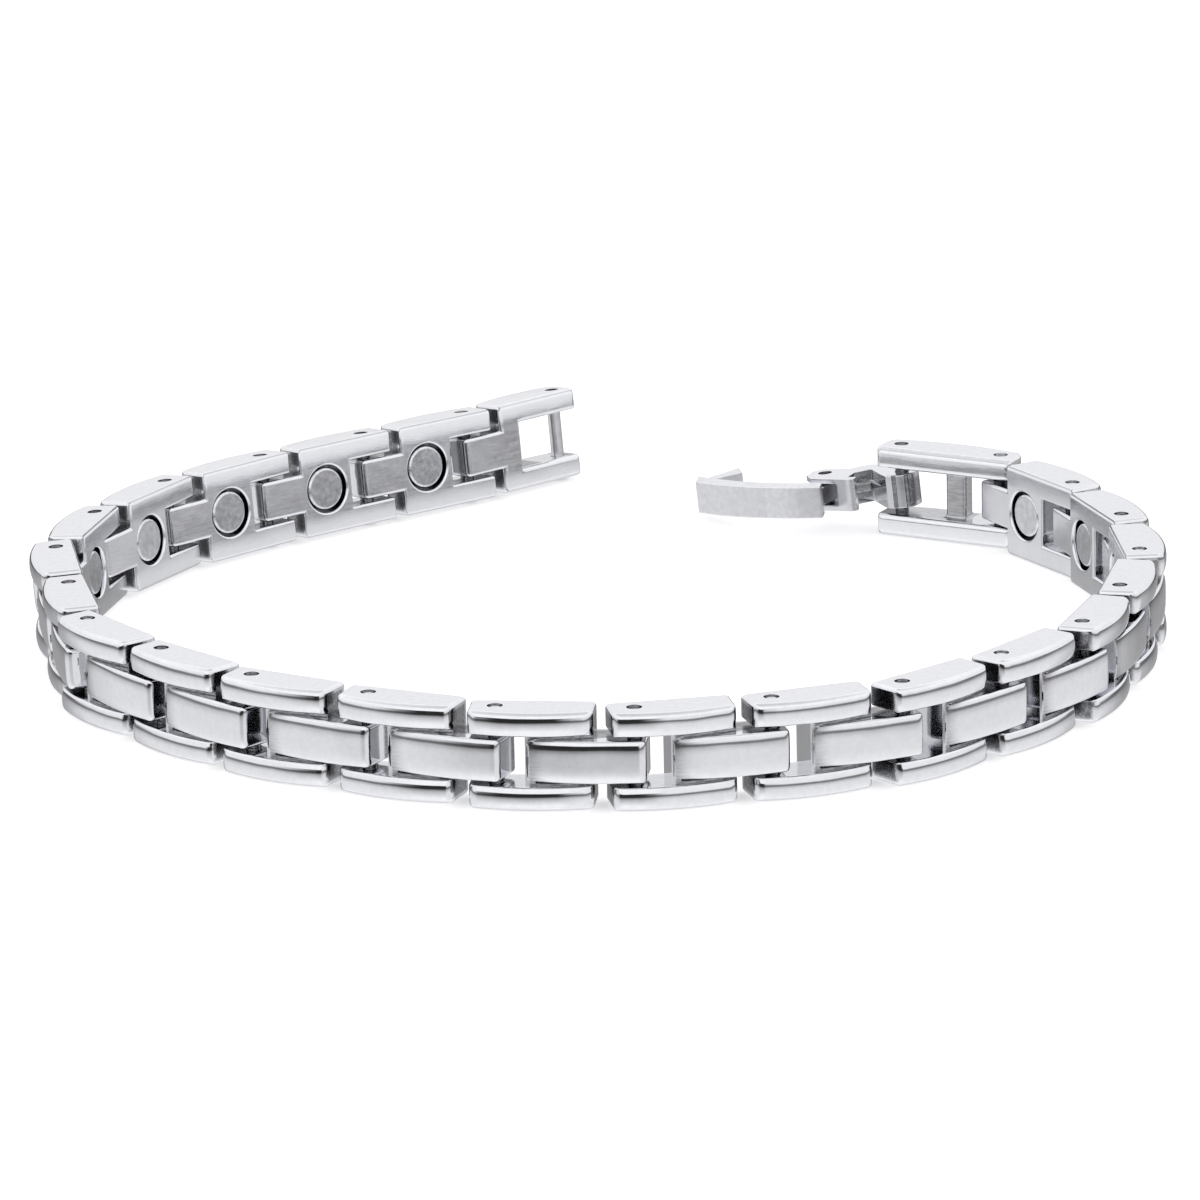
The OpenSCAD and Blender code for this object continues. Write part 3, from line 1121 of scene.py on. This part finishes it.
    def edge_width(self, edge: Edge) -> float:
        """Rounding of an edge of the cast body, by where it lies.

        Args:
            edge: The edge.

        Returns:
            The width of its rounding, in millimetres.
        """
        if edge.angle < CURVE_ANGLE:
            return 0.0
        band, middle = self.band, edge.middle
        inner = edge.at(1, band.pin_depth)
        if inner and edge.runs(2) and edge.at(0, self.slot_reach):
            return self.facing_round
        if inner and edge.at(0, self.slot_reach):
            return 0.0
        low, high = self.brick_ends
        on_tongue = edge.at(2, self.brick_half, -self.brick_half)
        at_tip = edge.at(0, high)
        hub = self.brick_hub
        curve = hub.y - math.sqrt(self.brick_arc_r ** 2 - (middle.x - hub.x) ** 2)
        outer = middle.y < curve + self.brick_crown + self.rails.corner_zone
        free = middle.x > self.rail_end - NEAR
        if edge.at(0, low) and outer and edge.runs(2):
            return self.brick_end_round
        if at_tip and edge.runs(2):
            return self.tip_inner_round if inner else self.tip_outer_round if outer else 0.0
        if at_tip and edge.runs(1) and on_tongue:
            return self.tip_side_round
        if on_tongue and edge.runs(0):
            if outer:
                return self.brick_round
            return self.tongue_round if inner and free else 0.0
        if inner and edge.at(2, band.rail_in, -band.rail_in) and middle.x > self.slot_reach:
            return 0.0
        return self.rails.width(edge)

    def mouth_width(self, edge: Edge) -> float:
        """Rounding of the edges that the drills leave.

        Args:
            edge: The edge.

        Returns:
            The width of its rounding, in millimetres.
        """
        if edge.angle < 60:
            return 0.0
        centre = Vector((self.magnet_x, 0))
        ends = (edge.first, edge.second)
        if self.pocket_d and all(
                p.y > self.band.pin_depth - NEAR
                and abs((Vector((p.x, p.z)) - centre).length - self.pocket_d / 2) < NEAR
                for p in ends):
            return self.pocket_round
        for pin_x in (0.0, self.pitch):
            if all(abs(math.hypot(p.x - pin_x, p.y) - self.hole_r) < self.hole_spread
                   and abs(p.z) > self.hole_level for p in ends):
                return self.hole_round
        return 0.0


@dataclass(frozen=True)
class Disc:
    """One disc magnet, its face sunk behind the link's inner side, its rim rounded."""

    radius: float = 1.45
    thickness: float = 1.2
    sink: float = 0.17
    chamfer: float = 0.2

    def model(self, band: Band) -> Bench:
        """The disc, lying in the frame of its pocket's middle.

        Args:
            band: Sizes of the chain.

        Returns:
            The bench that holds the disc.
        """
        face = band.pin_depth - self.sink
        disc = Bench.rod((0, face - self.thickness / 2, 0), self.radius, self.thickness, "Y", 64)
        disc.round_edges(lambda a, b, angle: self.chamfer if min(a.y, b.y) > face - NEAR else 0.0,
                         self.chamfer, 4)
        return disc.finish()


@dataclass(frozen=True)
class Pin:
    """A steel pin with domed ends."""

    radius: float
    length: float
    dome: float = 0.2

    def model(self) -> Bench:
        """The upright pin.

        Returns:
            The bench that holds the pin.
        """
        pin = Bench.rod((0, 0, 0), self.radius, self.length, sides=24)
        end = self.length / 2
        pin.round_edges(lambda a, b, angle: self.dome if abs(abs(a.z + b.z) / 2 - end) < NEAR
                        and angle > 60 else 0.0, self.dome, 4)
        return pin.finish()


@dataclass(frozen=True)
class ClaspFrame:
    """The clasp's frame: two rails joined by a web, with a window on each side of it.

    Its pins lie pin_depth behind its inner side, and its rails reach past each of them. The web
    lies web_sink behind that side, with fillets where it meets the rails.
    """

    band: Band
    pin_depth: float = 1.4
    arc_r: float = 20.0
    reach: float = 1.3
    web_low: float = 2.4
    web_w: float = 1.5
    web_sink: float = 0.9
    web_t: float = 1.25
    web_round: float = 0.25
    web_fillet: float = 0.25
    inner_round: float = 0.45
    facing_round: float = 0.4

    @property
    def rails(self) -> Rails:
        """Its rails."""
        band = self.band
        return Rails(band, -self.reach, band.frame_pitch + self.reach, self.pin_depth,
                     band.thickness - self.pin_depth, self.arc_r, band.clasp_corner,
                     band.clasp_corner, inner_round=self.inner_round,
                     facing_round=self.facing_round)

    def model(self) -> Bench:
        """The whole frame, drilled for its pins.

        Returns:
            The bench that holds the frame.
        """
        band, reach = self.band, self.band.rail_in + OVERLAP
        inner_y = self.pin_depth - self.web_sink
        body = self.rails.bar()
        lower = body.copy().turn_over()
        web = Bench.block((self.web_low, inner_y - self.web_t, -reach),
                          (self.web_low + self.web_w, inner_y, reach))
        body.add(web).add(lower)
        body.slice((0, self.pin_depth, 0), (0, 1, 0))
        body.round_edges(lambda a, b, angle: self.edge_width(Edge(a, b, angle)), WIDEST)
        for x in (0.0, band.frame_pitch):
            body.cut(Bench.rod((x, 0, 0), band.pin_d / 2 + band.pin_hold, band.height + 2))
        return body.tidy().finish()

    def edge_width(self, edge: Edge) -> float:
        """Rounding of an edge of the frame, by where it lies.

        Args:
            edge: The edge.

        Returns:
            The width of its rounding, in millimetres.
        """
        if edge.angle < CURVE_ANGLE:
            return 0.0
        web_high = self.web_low + self.web_w
        inner_y = self.pin_depth - self.web_sink
        within = (self.web_low - NEAR < edge.middle.x < web_high + NEAR
                  and inner_y - self.web_t - NEAR < edge.middle.y < inner_y + NEAR)
        if within and edge.runs(2):
            return self.web_round
        if within and edge.at(2, self.band.rail_in, -self.band.rail_in):
            return self.web_fillet
        return self.rails.width(edge)


@dataclass(frozen=True)
class HookPiece:
    """The small hinged piece between the frame and the cover, with its trough and lip.

    The barrel turns on the frame's pin and has two shallow grooves, at groove_angles in degrees
    about it. The bay under the lip takes the catch link's bar, and a rib crosses the trough that
    leads there. The block past the bay has a slot for the cover between two cheeks. Reaches are
    from the frame's pin along the chain, and faces, backs and depths from the line of the pins.
    """

    band: Band
    height: float = 2.3
    barrel_r: float = 1.25
    bay_reach: float = 3.4
    bay_wall: float = 0.65
    lip_len: float = 0.65
    lip_t: float = 0.65
    lip_face: float = 1.9
    block_face: float = 1.4
    block_back: float = 1.15
    block_end_r: float = 1.1
    trough_depth: float = 0.9
    trough_reach: float = 2.45
    trough_wall: float = 1.3
    rib_h: float = 0.6
    rib_out: float = 0.4
    cheek_t: float = 0.4
    edge: float = 0.07
    groove_angles: tuple[float, float] = (88.0, 128.0)
    groove_r: float = 0.16

    def plan(self) -> list[Corner]:
        """Plan of the body: the wall behind the trough, the block and the lip over the bay.

        Returns:
            Its corners, in order.
        """
        pitch, lip_start = self.band.hook_pitch, self.bay_reach - self.lip_len
        wall_y = -self.trough_depth - self.trough_wall
        block_end, half_end = pitch + self.block_end_r, self.block_end_r / 2
        return [(0, -self.barrel_r),
                (self.trough_reach - self.trough_wall / 2, wall_y),
                (self.trough_reach + self.trough_wall / 2, wall_y),
                (self.bay_reach + self.bay_wall, -self.block_back),
                (pitch + half_end, -self.block_back),
                (block_end, -half_end),
                (block_end, self.block_face / 2),
                (pitch + half_end, self.block_face),
                (self.bay_reach - self.lip_len / 2, self.lip_face),
                (lip_start, self.lip_face - self.lip_len / 4),
                (lip_start, self.lip_face - self.lip_t),
                (0, self.lip_face - self.lip_t)]

    def trough(self, depth: float) -> list[Corner]:
        """Plan of the space that takes the bar, open between the barrel and the lip.

        Args:
            depth: Depth of its bottom past the line of the pins.

        Returns:
            Its corners, in order.
        """
        mouth, lip_start = self.barrel_r, self.bay_reach - self.lip_len
        under_lip = self.lip_face - self.lip_t
        return [(self.bay_reach, 0),
                (self.trough_reach, -depth),
                (mouth, self.lip_face - 2 * self.lip_t),
                (mouth / 2, under_lip),
                (mouth / 2, self.lip_face + 1),
                (lip_start, self.lip_face + 1),
                (lip_start, under_lip),
                (self.bay_reach, under_lip)]

    def model(self) -> Bench:
        """The whole hook piece, drilled for its two pins.

        Returns:
            The bench that holds the hook piece.
        """
        half, band = self.height / 2, self.band
        body = Bench.prism(self.plan(), -half, half)
        body.add(Bench.rod((0, 0, 0), self.barrel_r, self.height, sides=48))
        body.cut(Bench.prism(self.trough(self.trough_depth - self.rib_out),
                             -self.rib_h / 2, self.rib_h / 2))
        for side in (1, -1):
            ends = sorted((side * self.rib_h / 2, side * self.height))
            body.cut(Bench.prism(self.trough(self.trough_depth), *ends))
        wide = 2 * self.lip_face
        body.cut(Bench.block((self.bay_reach + self.bay_wall, -wide, -half + self.cheek_t),
                             (2 * band.hook_pitch, wide, half - self.cheek_t)))
        body.tidy()
        body.round_edges(lambda a, b, angle: self.edge if angle > 50 else 0.0, self.edge, 3)
        for angle in self.groove_angles:
            way = math.radians(angle)
            body.cut(Bench.rod((self.barrel_r * math.cos(way), self.barrel_r * math.sin(way), 0),
                               self.groove_r, self.height + 1, sides=16))
        body.cut(Bench.rod((0, 0, 0), band.pin_d / 2 + band.hinge_play, 2 * self.height)
                 .turned(Matrix.Rotation(-math.radians(Route.droop), 4, "Y")))
        body.cut(Bench.rod((band.hook_pitch, 0, 0), band.pin_d / 2 + band.pin_hold,
                           2 * self.height))
        return body.tidy().finish()


@dataclass(frozen=True)
class Cover:
    """The clasp's cover plate with its turned-in hook and the lug round its pin.

    The plate starts the distance back before the cover's pin, its ends slant along the chain, and
    its back stands off the pin. The hook drops past that back, thin at its root and barbed at its
    tip.
    """

    band: Band
    height: float = 2.2
    thickness: float = 1.3
    arc_r: float = 20.0
    length: float = 10.3
    back: float = 1.9
    slant: float = 0.7
    stand: float = 2.2
    hook_drop: float = 3.8
    hook_root: float = 0.75
    hook_tip: float = 1.1
    hook_h: float = 1.6
    lug_r: float = 0.95
    lug_h: float = 1.2
    lug_steps: int = 16
    edge: float = 0.09

    def plate(self) -> Bench:
        """The curved plate with its slanted ends.

        Returns:
            The bench that holds the plate.
        """
        low, face = -self.back, self.stand + self.thickness
        high = low + self.length
        middle = (low + high + self.slant) / 2
        hub_y = math.sqrt(self.arc_r ** 2 - (self.length / 2) ** 2) - face
        half = self.height / 2
        section = [(0, -half), (0, half), (self.thickness, half), (self.thickness, -half)]
        plate = Bench.swept(section, Vector((-middle, hub_y, 0)), self.arc_r,
                            self.length / 2 + self.slant, 0.6, 16)
        plate.turned(Matrix.Rotation(math.pi, 4, "Z"))
        lean = Vector((self.thickness, self.slant, 0)).normalized()
        return plate.slice((low, face, 0), -lean).slice((high, face, 0), lean)

    def hook(self) -> Bench:
        """The turned-in hook with its barbed tip.

        Returns:
            The bench that holds the hook.
        """
        root = self.length - self.back + self.slant
        tip, tip_y = root - self.slant, self.stand - self.hook_drop
        mid = self.stand + self.thickness / 2
        outline = [(root, self.stand), (root - self.hook_root / 2, mid),
                   (root - self.hook_root, mid),
                   (root - self.hook_root, self.stand - self.hook_root),
                   (tip - self.hook_tip, tip_y + self.hook_tip), (tip, tip_y)]
        return Bench.prism(outline, -self.hook_h / 2, self.hook_h / 2)

    def model(self) -> Bench:
        """The whole cover, drilled for its pin.

        Returns:
            The bench that holds the cover.
        """
        half, root = self.lug_h / 2, self.stand + self.thickness / 2
        turns = [math.pi * (1 + step / self.lug_steps) for step in range(self.lug_steps + 1)]
        lug = Bench.prism([*((self.lug_r * math.cos(turn), self.lug_r * math.sin(turn))
                             for turn in turns),
                           (self.lug_r, root), (-self.lug_r, root)], -half, half)
        body = self.plate()
        body.add(self.hook()).add(lug).tidy()
        body.round_edges(lambda a, b, angle: self.edge if angle > 50 else 0.0, self.edge, 3)
        body.cut(Bench.rod((0, 0, 0), self.band.pin_d / 2 + self.band.hinge_play, 4))
        return body.tidy().finish()


@dataclass
class Studio:
    """Floor, light and camera.

    The camera looks at aim from a distance, both in metres, and from an elevation in degrees,
    rolled about its own axis, with a lens on a 36 mm sensor. Each glow is the light tent's
    brightness by elevation in degrees: on the camera's side, at the sides and behind. The blends
    are turns from the camera, in radians, over which one glow gives way to the next.
    """

    aim: Vector
    distance: float = 0.50672
    elevation: float = 16.108
    roll: float = -1.248
    lens: float = 239.86
    front_glow: tuple[Corner, ...] = (
        (-90, 1.0), (-38, 1.0), (-30, 0.85), (-22, 0.67), (-15, 0.52), (-9, 0.27), (-6, 0.03),
        (6, 0.02), (7.5, 0.5), (9, 1.0), (45, 1.05), (65, 0.8), (90, 0.66))
    side_glow: tuple[Corner, ...] = (
        (-90, 0.95), (-50, 0.95), (-25, 0.83), (-16, 0.78), (-9, 0.56), (-5, 0.2), (-1.5, 0.2),
        *SKY)
    back_glow: tuple[Corner, ...] = (
        (-90, 0.85), (-50, 0.75), (-32, 0.52), (-22, 0.42), (-16, 0.34), (-9, 0.2), (-5, 0.08),
        (-1.5, 0.12), *SKY)
    left_blend: tuple[float, float] = (-1.1, -0.5)
    right_blend: tuple[float, float] = (0.0, 0.3)
    back_blend: tuple[float, float] = (1.9, 2.6)
    floor_glow: float = 0.4

    def camera(self) -> None:
        """Sets up the camera at the photograph's angle."""
        angle = math.radians(self.elevation)
        data = bpy.data.cameras.new("camera")
        data.lens = self.lens
        data.sensor_width = 36
        data.clip_start, data.clip_end = 0.01, 20
        camera = bpy.data.objects.new("camera", data)
        bpy.context.scene.collection.objects.link(camera)
        back = Vector((0, -math.cos(angle), math.sin(angle)))
        camera.matrix_world = (Matrix.Translation(self.aim + self.distance * back)
                               @ Matrix.Rotation(math.pi / 2 - angle, 4, "X")
                               @ Matrix.Rotation(math.radians(self.roll), 4, "Z"))
        bpy.context.scene.camera = camera

    def floor(self) -> None:
        """Lays a plain pale floor."""
        Bench.clear()
        bpy.ops.mesh.primitive_plane_add(size=6, location=(0, 0, -0.00002))
        floor = bpy.context.object
        floor.name = "floor"
        floor.visible_glossy = False
        material = bpy.data.materials.new("floor")
        material.use_nodes = True
        desk = Desk(material.node_tree)
        shader = desk.node("ShaderNodeBsdfPrincipled", values={
            "Base Color": (0.94, 0.94, 0.945, 1), "Roughness": 0.9, "Specular IOR Level": 0.0,
            "Emission Color": (1, 1, 1, 1), "Emission Strength": self.floor_glow})
        desk.node("ShaderNodeOutputMaterial", values={"Surface": shader})
        floor.data.materials.append(material)

    @staticmethod
    def ramp(desk: Desk, height: Wire, glow: tuple[Corner, ...]) -> Wire:
        """Brightness by the sine of the elevation, from a table by elevation in degrees.

        Args:
            desk: The world's node tree.
            height: The sine of the elevation.
            glow: The table.

        Returns:
            The brightness.
        """
        stops = [((math.sin(math.radians(angle)) + 1) / 2, (value, value, value * 1.01, 1))
                 for angle, value in glow]
        return desk.node("ShaderNodeValToRGB", {"stops": stops}, {0: height * 0.5 + 0.5})

    def light(self) -> None:
        """Surrounds the object with a soft light tent that is dark along its front horizon."""
        world = bpy.data.worlds.new("tent")
        bpy.context.scene.world = world
        world.use_nodes = True
        desk = Desk(world.node_tree)
        way = desk.node("ShaderNodeTexCoord", output="Generated")
        x, y, z = desk.parts(way)
        across = x.angle(0 - y)
        front = across.ramp(*self.left_blend) * (1 - across.ramp(*self.right_blend))
        glow = desk.blend(front, self.ramp(desk, z, self.side_glow),
                          self.ramp(desk, z, self.front_glow))
        glow = desk.blend(abs(across).ramp(*self.back_blend), glow,
                          self.ramp(desk, z, self.back_glow))
        back = desk.node("ShaderNodeBackground", values={"Color": glow, "Strength": 1.0})
        desk.node("ShaderNodeOutputWorld", values={"Surface": back})
        bpy.context.scene.view_settings.view_transform = "Standard"

    def build(self) -> None:
        """Sets up the whole studio."""
        self.camera()
        self.floor()
        self.light()


@dataclass
class Bracelet:
    """The whole bracelet, piece by piece, with its finishes.

    The catch link's own sizes stand here, since it is a link with an open window, and seed sets
    the small differences between the pins.
    """

    band: Band
    route: Route
    # The links' steel darkens its deep walls and pin holes with painted shade, less along the
    # slot.
    steel: Metal = Metal("polished_steel")
    # The frame's steel has a lighter painted shade in its deep walls and both pin holes.
    frame_steel: Metal = Metal("frame_steel", inner=(0.96, 0.965, 0.99, 1), inner_rough=0.13,
                               inner_from=1.25, middle=3.7, back=1.75, arc_r=20.0,
                               holes=((0.0, 0.55), (7.4, 0.55)), crevice_shade=0.45, belly=0.2)
    # The hook piece's steel puts painted shade in its deep walls, the barrel's grooves and its
    # pin holes.
    hook_steel: Metal = Metal("hook_steel", polish_rough=0.12, inner_from=1.25, middle=0.0,
                              back=1.15, arc_r=1000.0, half=1.15,
                              holes=((0.0, 1.21), (5.5, 0.55)), crevice_shade=0.6, belly=0.0)
    cover_steel: Metal = Metal("cover_steel", polished=(0.95, 0.955, 0.985, 1), polish_rough=0.15,
                               inner_from=90.0, patchy=0.12, crevice_shade=0.0)
    # The magnets' nickel darkens their sides behind the face with painted shade.
    nickel: Metal = Metal("magnet_nickel", inner=(0.84, 0.845, 0.875, 1), inner_from=0.98,
                          inner_rough=0.36, grain=(1.5, 3.0), patchy=0.25, holes=(), belly=0.0)
    # The pins get strong painted shade over nearly all their length, fading near the chain pins'
    # ends.
    pin_steel: Metal = Metal("pin_steel", polished=(0.84, 0.845, 0.87, 1), polish_rough=0.2,
                             inner_from=90.0, back=90.0, half=3.0, holes=(), slot=(90.0, 91.0),
                             crevice_shade=0.85)
    catch_reach: float = 1.1
    catch_slot: float = 4.1
    catch_inner_round: float = 0.42
    catch_facing_round: float = 0.36
    bar_d: float = 0.88
    pin_spread: float = 0.05
    seed: int = 7
    finishes: dict[str, bpy.types.Material] = field(default_factory=dict)

    def place(self, pattern: Bench, name: str, seat: Matrix, finish: Metal, slot: Slot,
              body: Body, node: str) -> None:
        """Sets a copy of a pattern down in the scene in place of a node of the model.

        Args:
            pattern: The modelled piece, in its own frame.
            name: Name of the finished piece.
            seat: Matrix from the piece's millimetres to the scene's metres.
            finish: Its finish.
            slot: The record's material slot; not used.
            body: The body that it rides on.
            node: The node that it stands for.
        """
        if finish.name not in self.finishes:
            self.finishes[finish.name] = finish.make()
        piece = pattern.copy().turned(seat).name(name)
        piece.data.materials.clear()
        piece.data.materials.append(self.finishes[finish.name])
        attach(piece, body.value)
        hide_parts(node)
        LOG.info("%s: %d faces", name, len(piece.data.polygons))

    def chain(self) -> None:
        """Builds the links with their magnets."""
        band = self.band
        design = Link(band, band.pitch, band.arm_reach, band.slot_reach, band.pin_d)
        pattern, disc = design.model(), Disc().model(band)
        for number in range(1, band.link_count + 1):
            seat = self.route.seat(number)
            self.place(pattern, f"cast_link_{number:02d}", seat, self.steel, Slot.STEEL,
                       Body.BAND, f"link_{number:02d}")
            turn = Matrix.Rotation(math.radians(MAGNET_TURN * number), 4, "Y")
            self.place(disc, f"disc_magnet_{number:02d}",
                       seat @ Matrix.Translation((design.magnet_x, 0, 0)) @ turn, self.nickel,
                       Slot.MAGNET, Body.BAND, f"magnet_{number:02d}")
        pattern.discard()
        disc.discard()

    def pins(self) -> None:
        """Builds the chain's pins as one piece, each pushed in a little more or less."""
        band, chance = self.band, random.Random(self.seed)
        first = Pin(band.pin_d / 2, band.height - 2 * band.pin_sink).model()
        pins = []
        for segment in range(band.link_count + 1):
            short = Matrix.Scale(1 - chance.uniform(0.0, self.pin_spread), 4, (0, 0, 1))
            pins.append(first.copy().turned(self.route.seat(segment) @ short))
        first.discard()
        row = pins[0].gather(pins[1:])
        self.place(row, "chain_pins", Matrix.Identity(4), self.pin_steel, Slot.PIN, Body.BAND,
                   "link_pins")
        row.discard()

    def clasp(self) -> None:
        """Builds the catch link, the clasp's frame, the hook piece and the cover."""
        band, route = self.band, self.route
        catch = Link(band, band.catch_pitch, self.catch_reach, self.catch_slot, self.bar_d,
                     band.clasp_corner, self.catch_inner_round, self.catch_facing_round,
                     pocket_d=0.0)
        end, pitch = route.seat(band.catch_segment), band.frame_pitch
        long_pin = Pin(band.pin_d / 2, band.height - 2 * band.clasp_sink)
        work = (
            (catch, "catch_casting", end, self.steel, Slot.STEEL, Body.BAND, "catch_link"),
            (Pin(self.bar_d / 2, long_pin.length), "thin_bar", end, self.cover_steel, Slot.PIN,
             Body.BAND, "catch_bar"),
            (ClaspFrame(band), "frame_casting", route.seat(0), self.frame_steel, Slot.STEEL,
             Body.BAND, "clasp_frame"),
            (long_pin, "frame_pin", route.seat(0) @ Matrix.Translation((pitch, 0, 0)),
             self.pin_steel, Slot.PIN, Body.BAND, "clasp_pin"),
            (HookPiece(band), "hook_casting", route.hook_seat(), self.hook_steel, Slot.STEEL,
             Body.HOOK_PIECE, "clasp_link"),
            (Pin(band.pin_d / 2, HookPiece.height - band.clasp_sink), "hook_pin",
             route.hook_seat() @ Matrix.Translation((band.hook_pitch, 0, 0)), self.pin_steel,
             Slot.PIN, Body.HOOK_PIECE, "cover_pin"),
            (Cover(band), "cover_plate", route.cover_seat(), self.cover_steel, Slot.STEEL,
             Body.COVER, "clasp_cover"),
        )
        for design, *rest in work:
            pattern = design.model()
            self.place(pattern, *rest)
            pattern.discard()


def main() -> None:
    """Builds the studio and every piece in order."""
    logging.basicConfig(level=logging.INFO, format="%(name)s: %(message)s")
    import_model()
    band = Band()
    low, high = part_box("clasp_pin")
    first_pin = ((Vector(low) + Vector(high)) / 2 / MM).xy
    aim = first_pin + AIM_FROM_CLASP_PIN
    Studio(Vector((aim.x, aim.y, AIM_HEIGHT)) * MM).build()
    bracelet = Bracelet(band, Route(band, first_pin))
    bracelet.chain()
    bracelet.pins()
    bracelet.clasp()


if __name__ == "__main__":
    main()
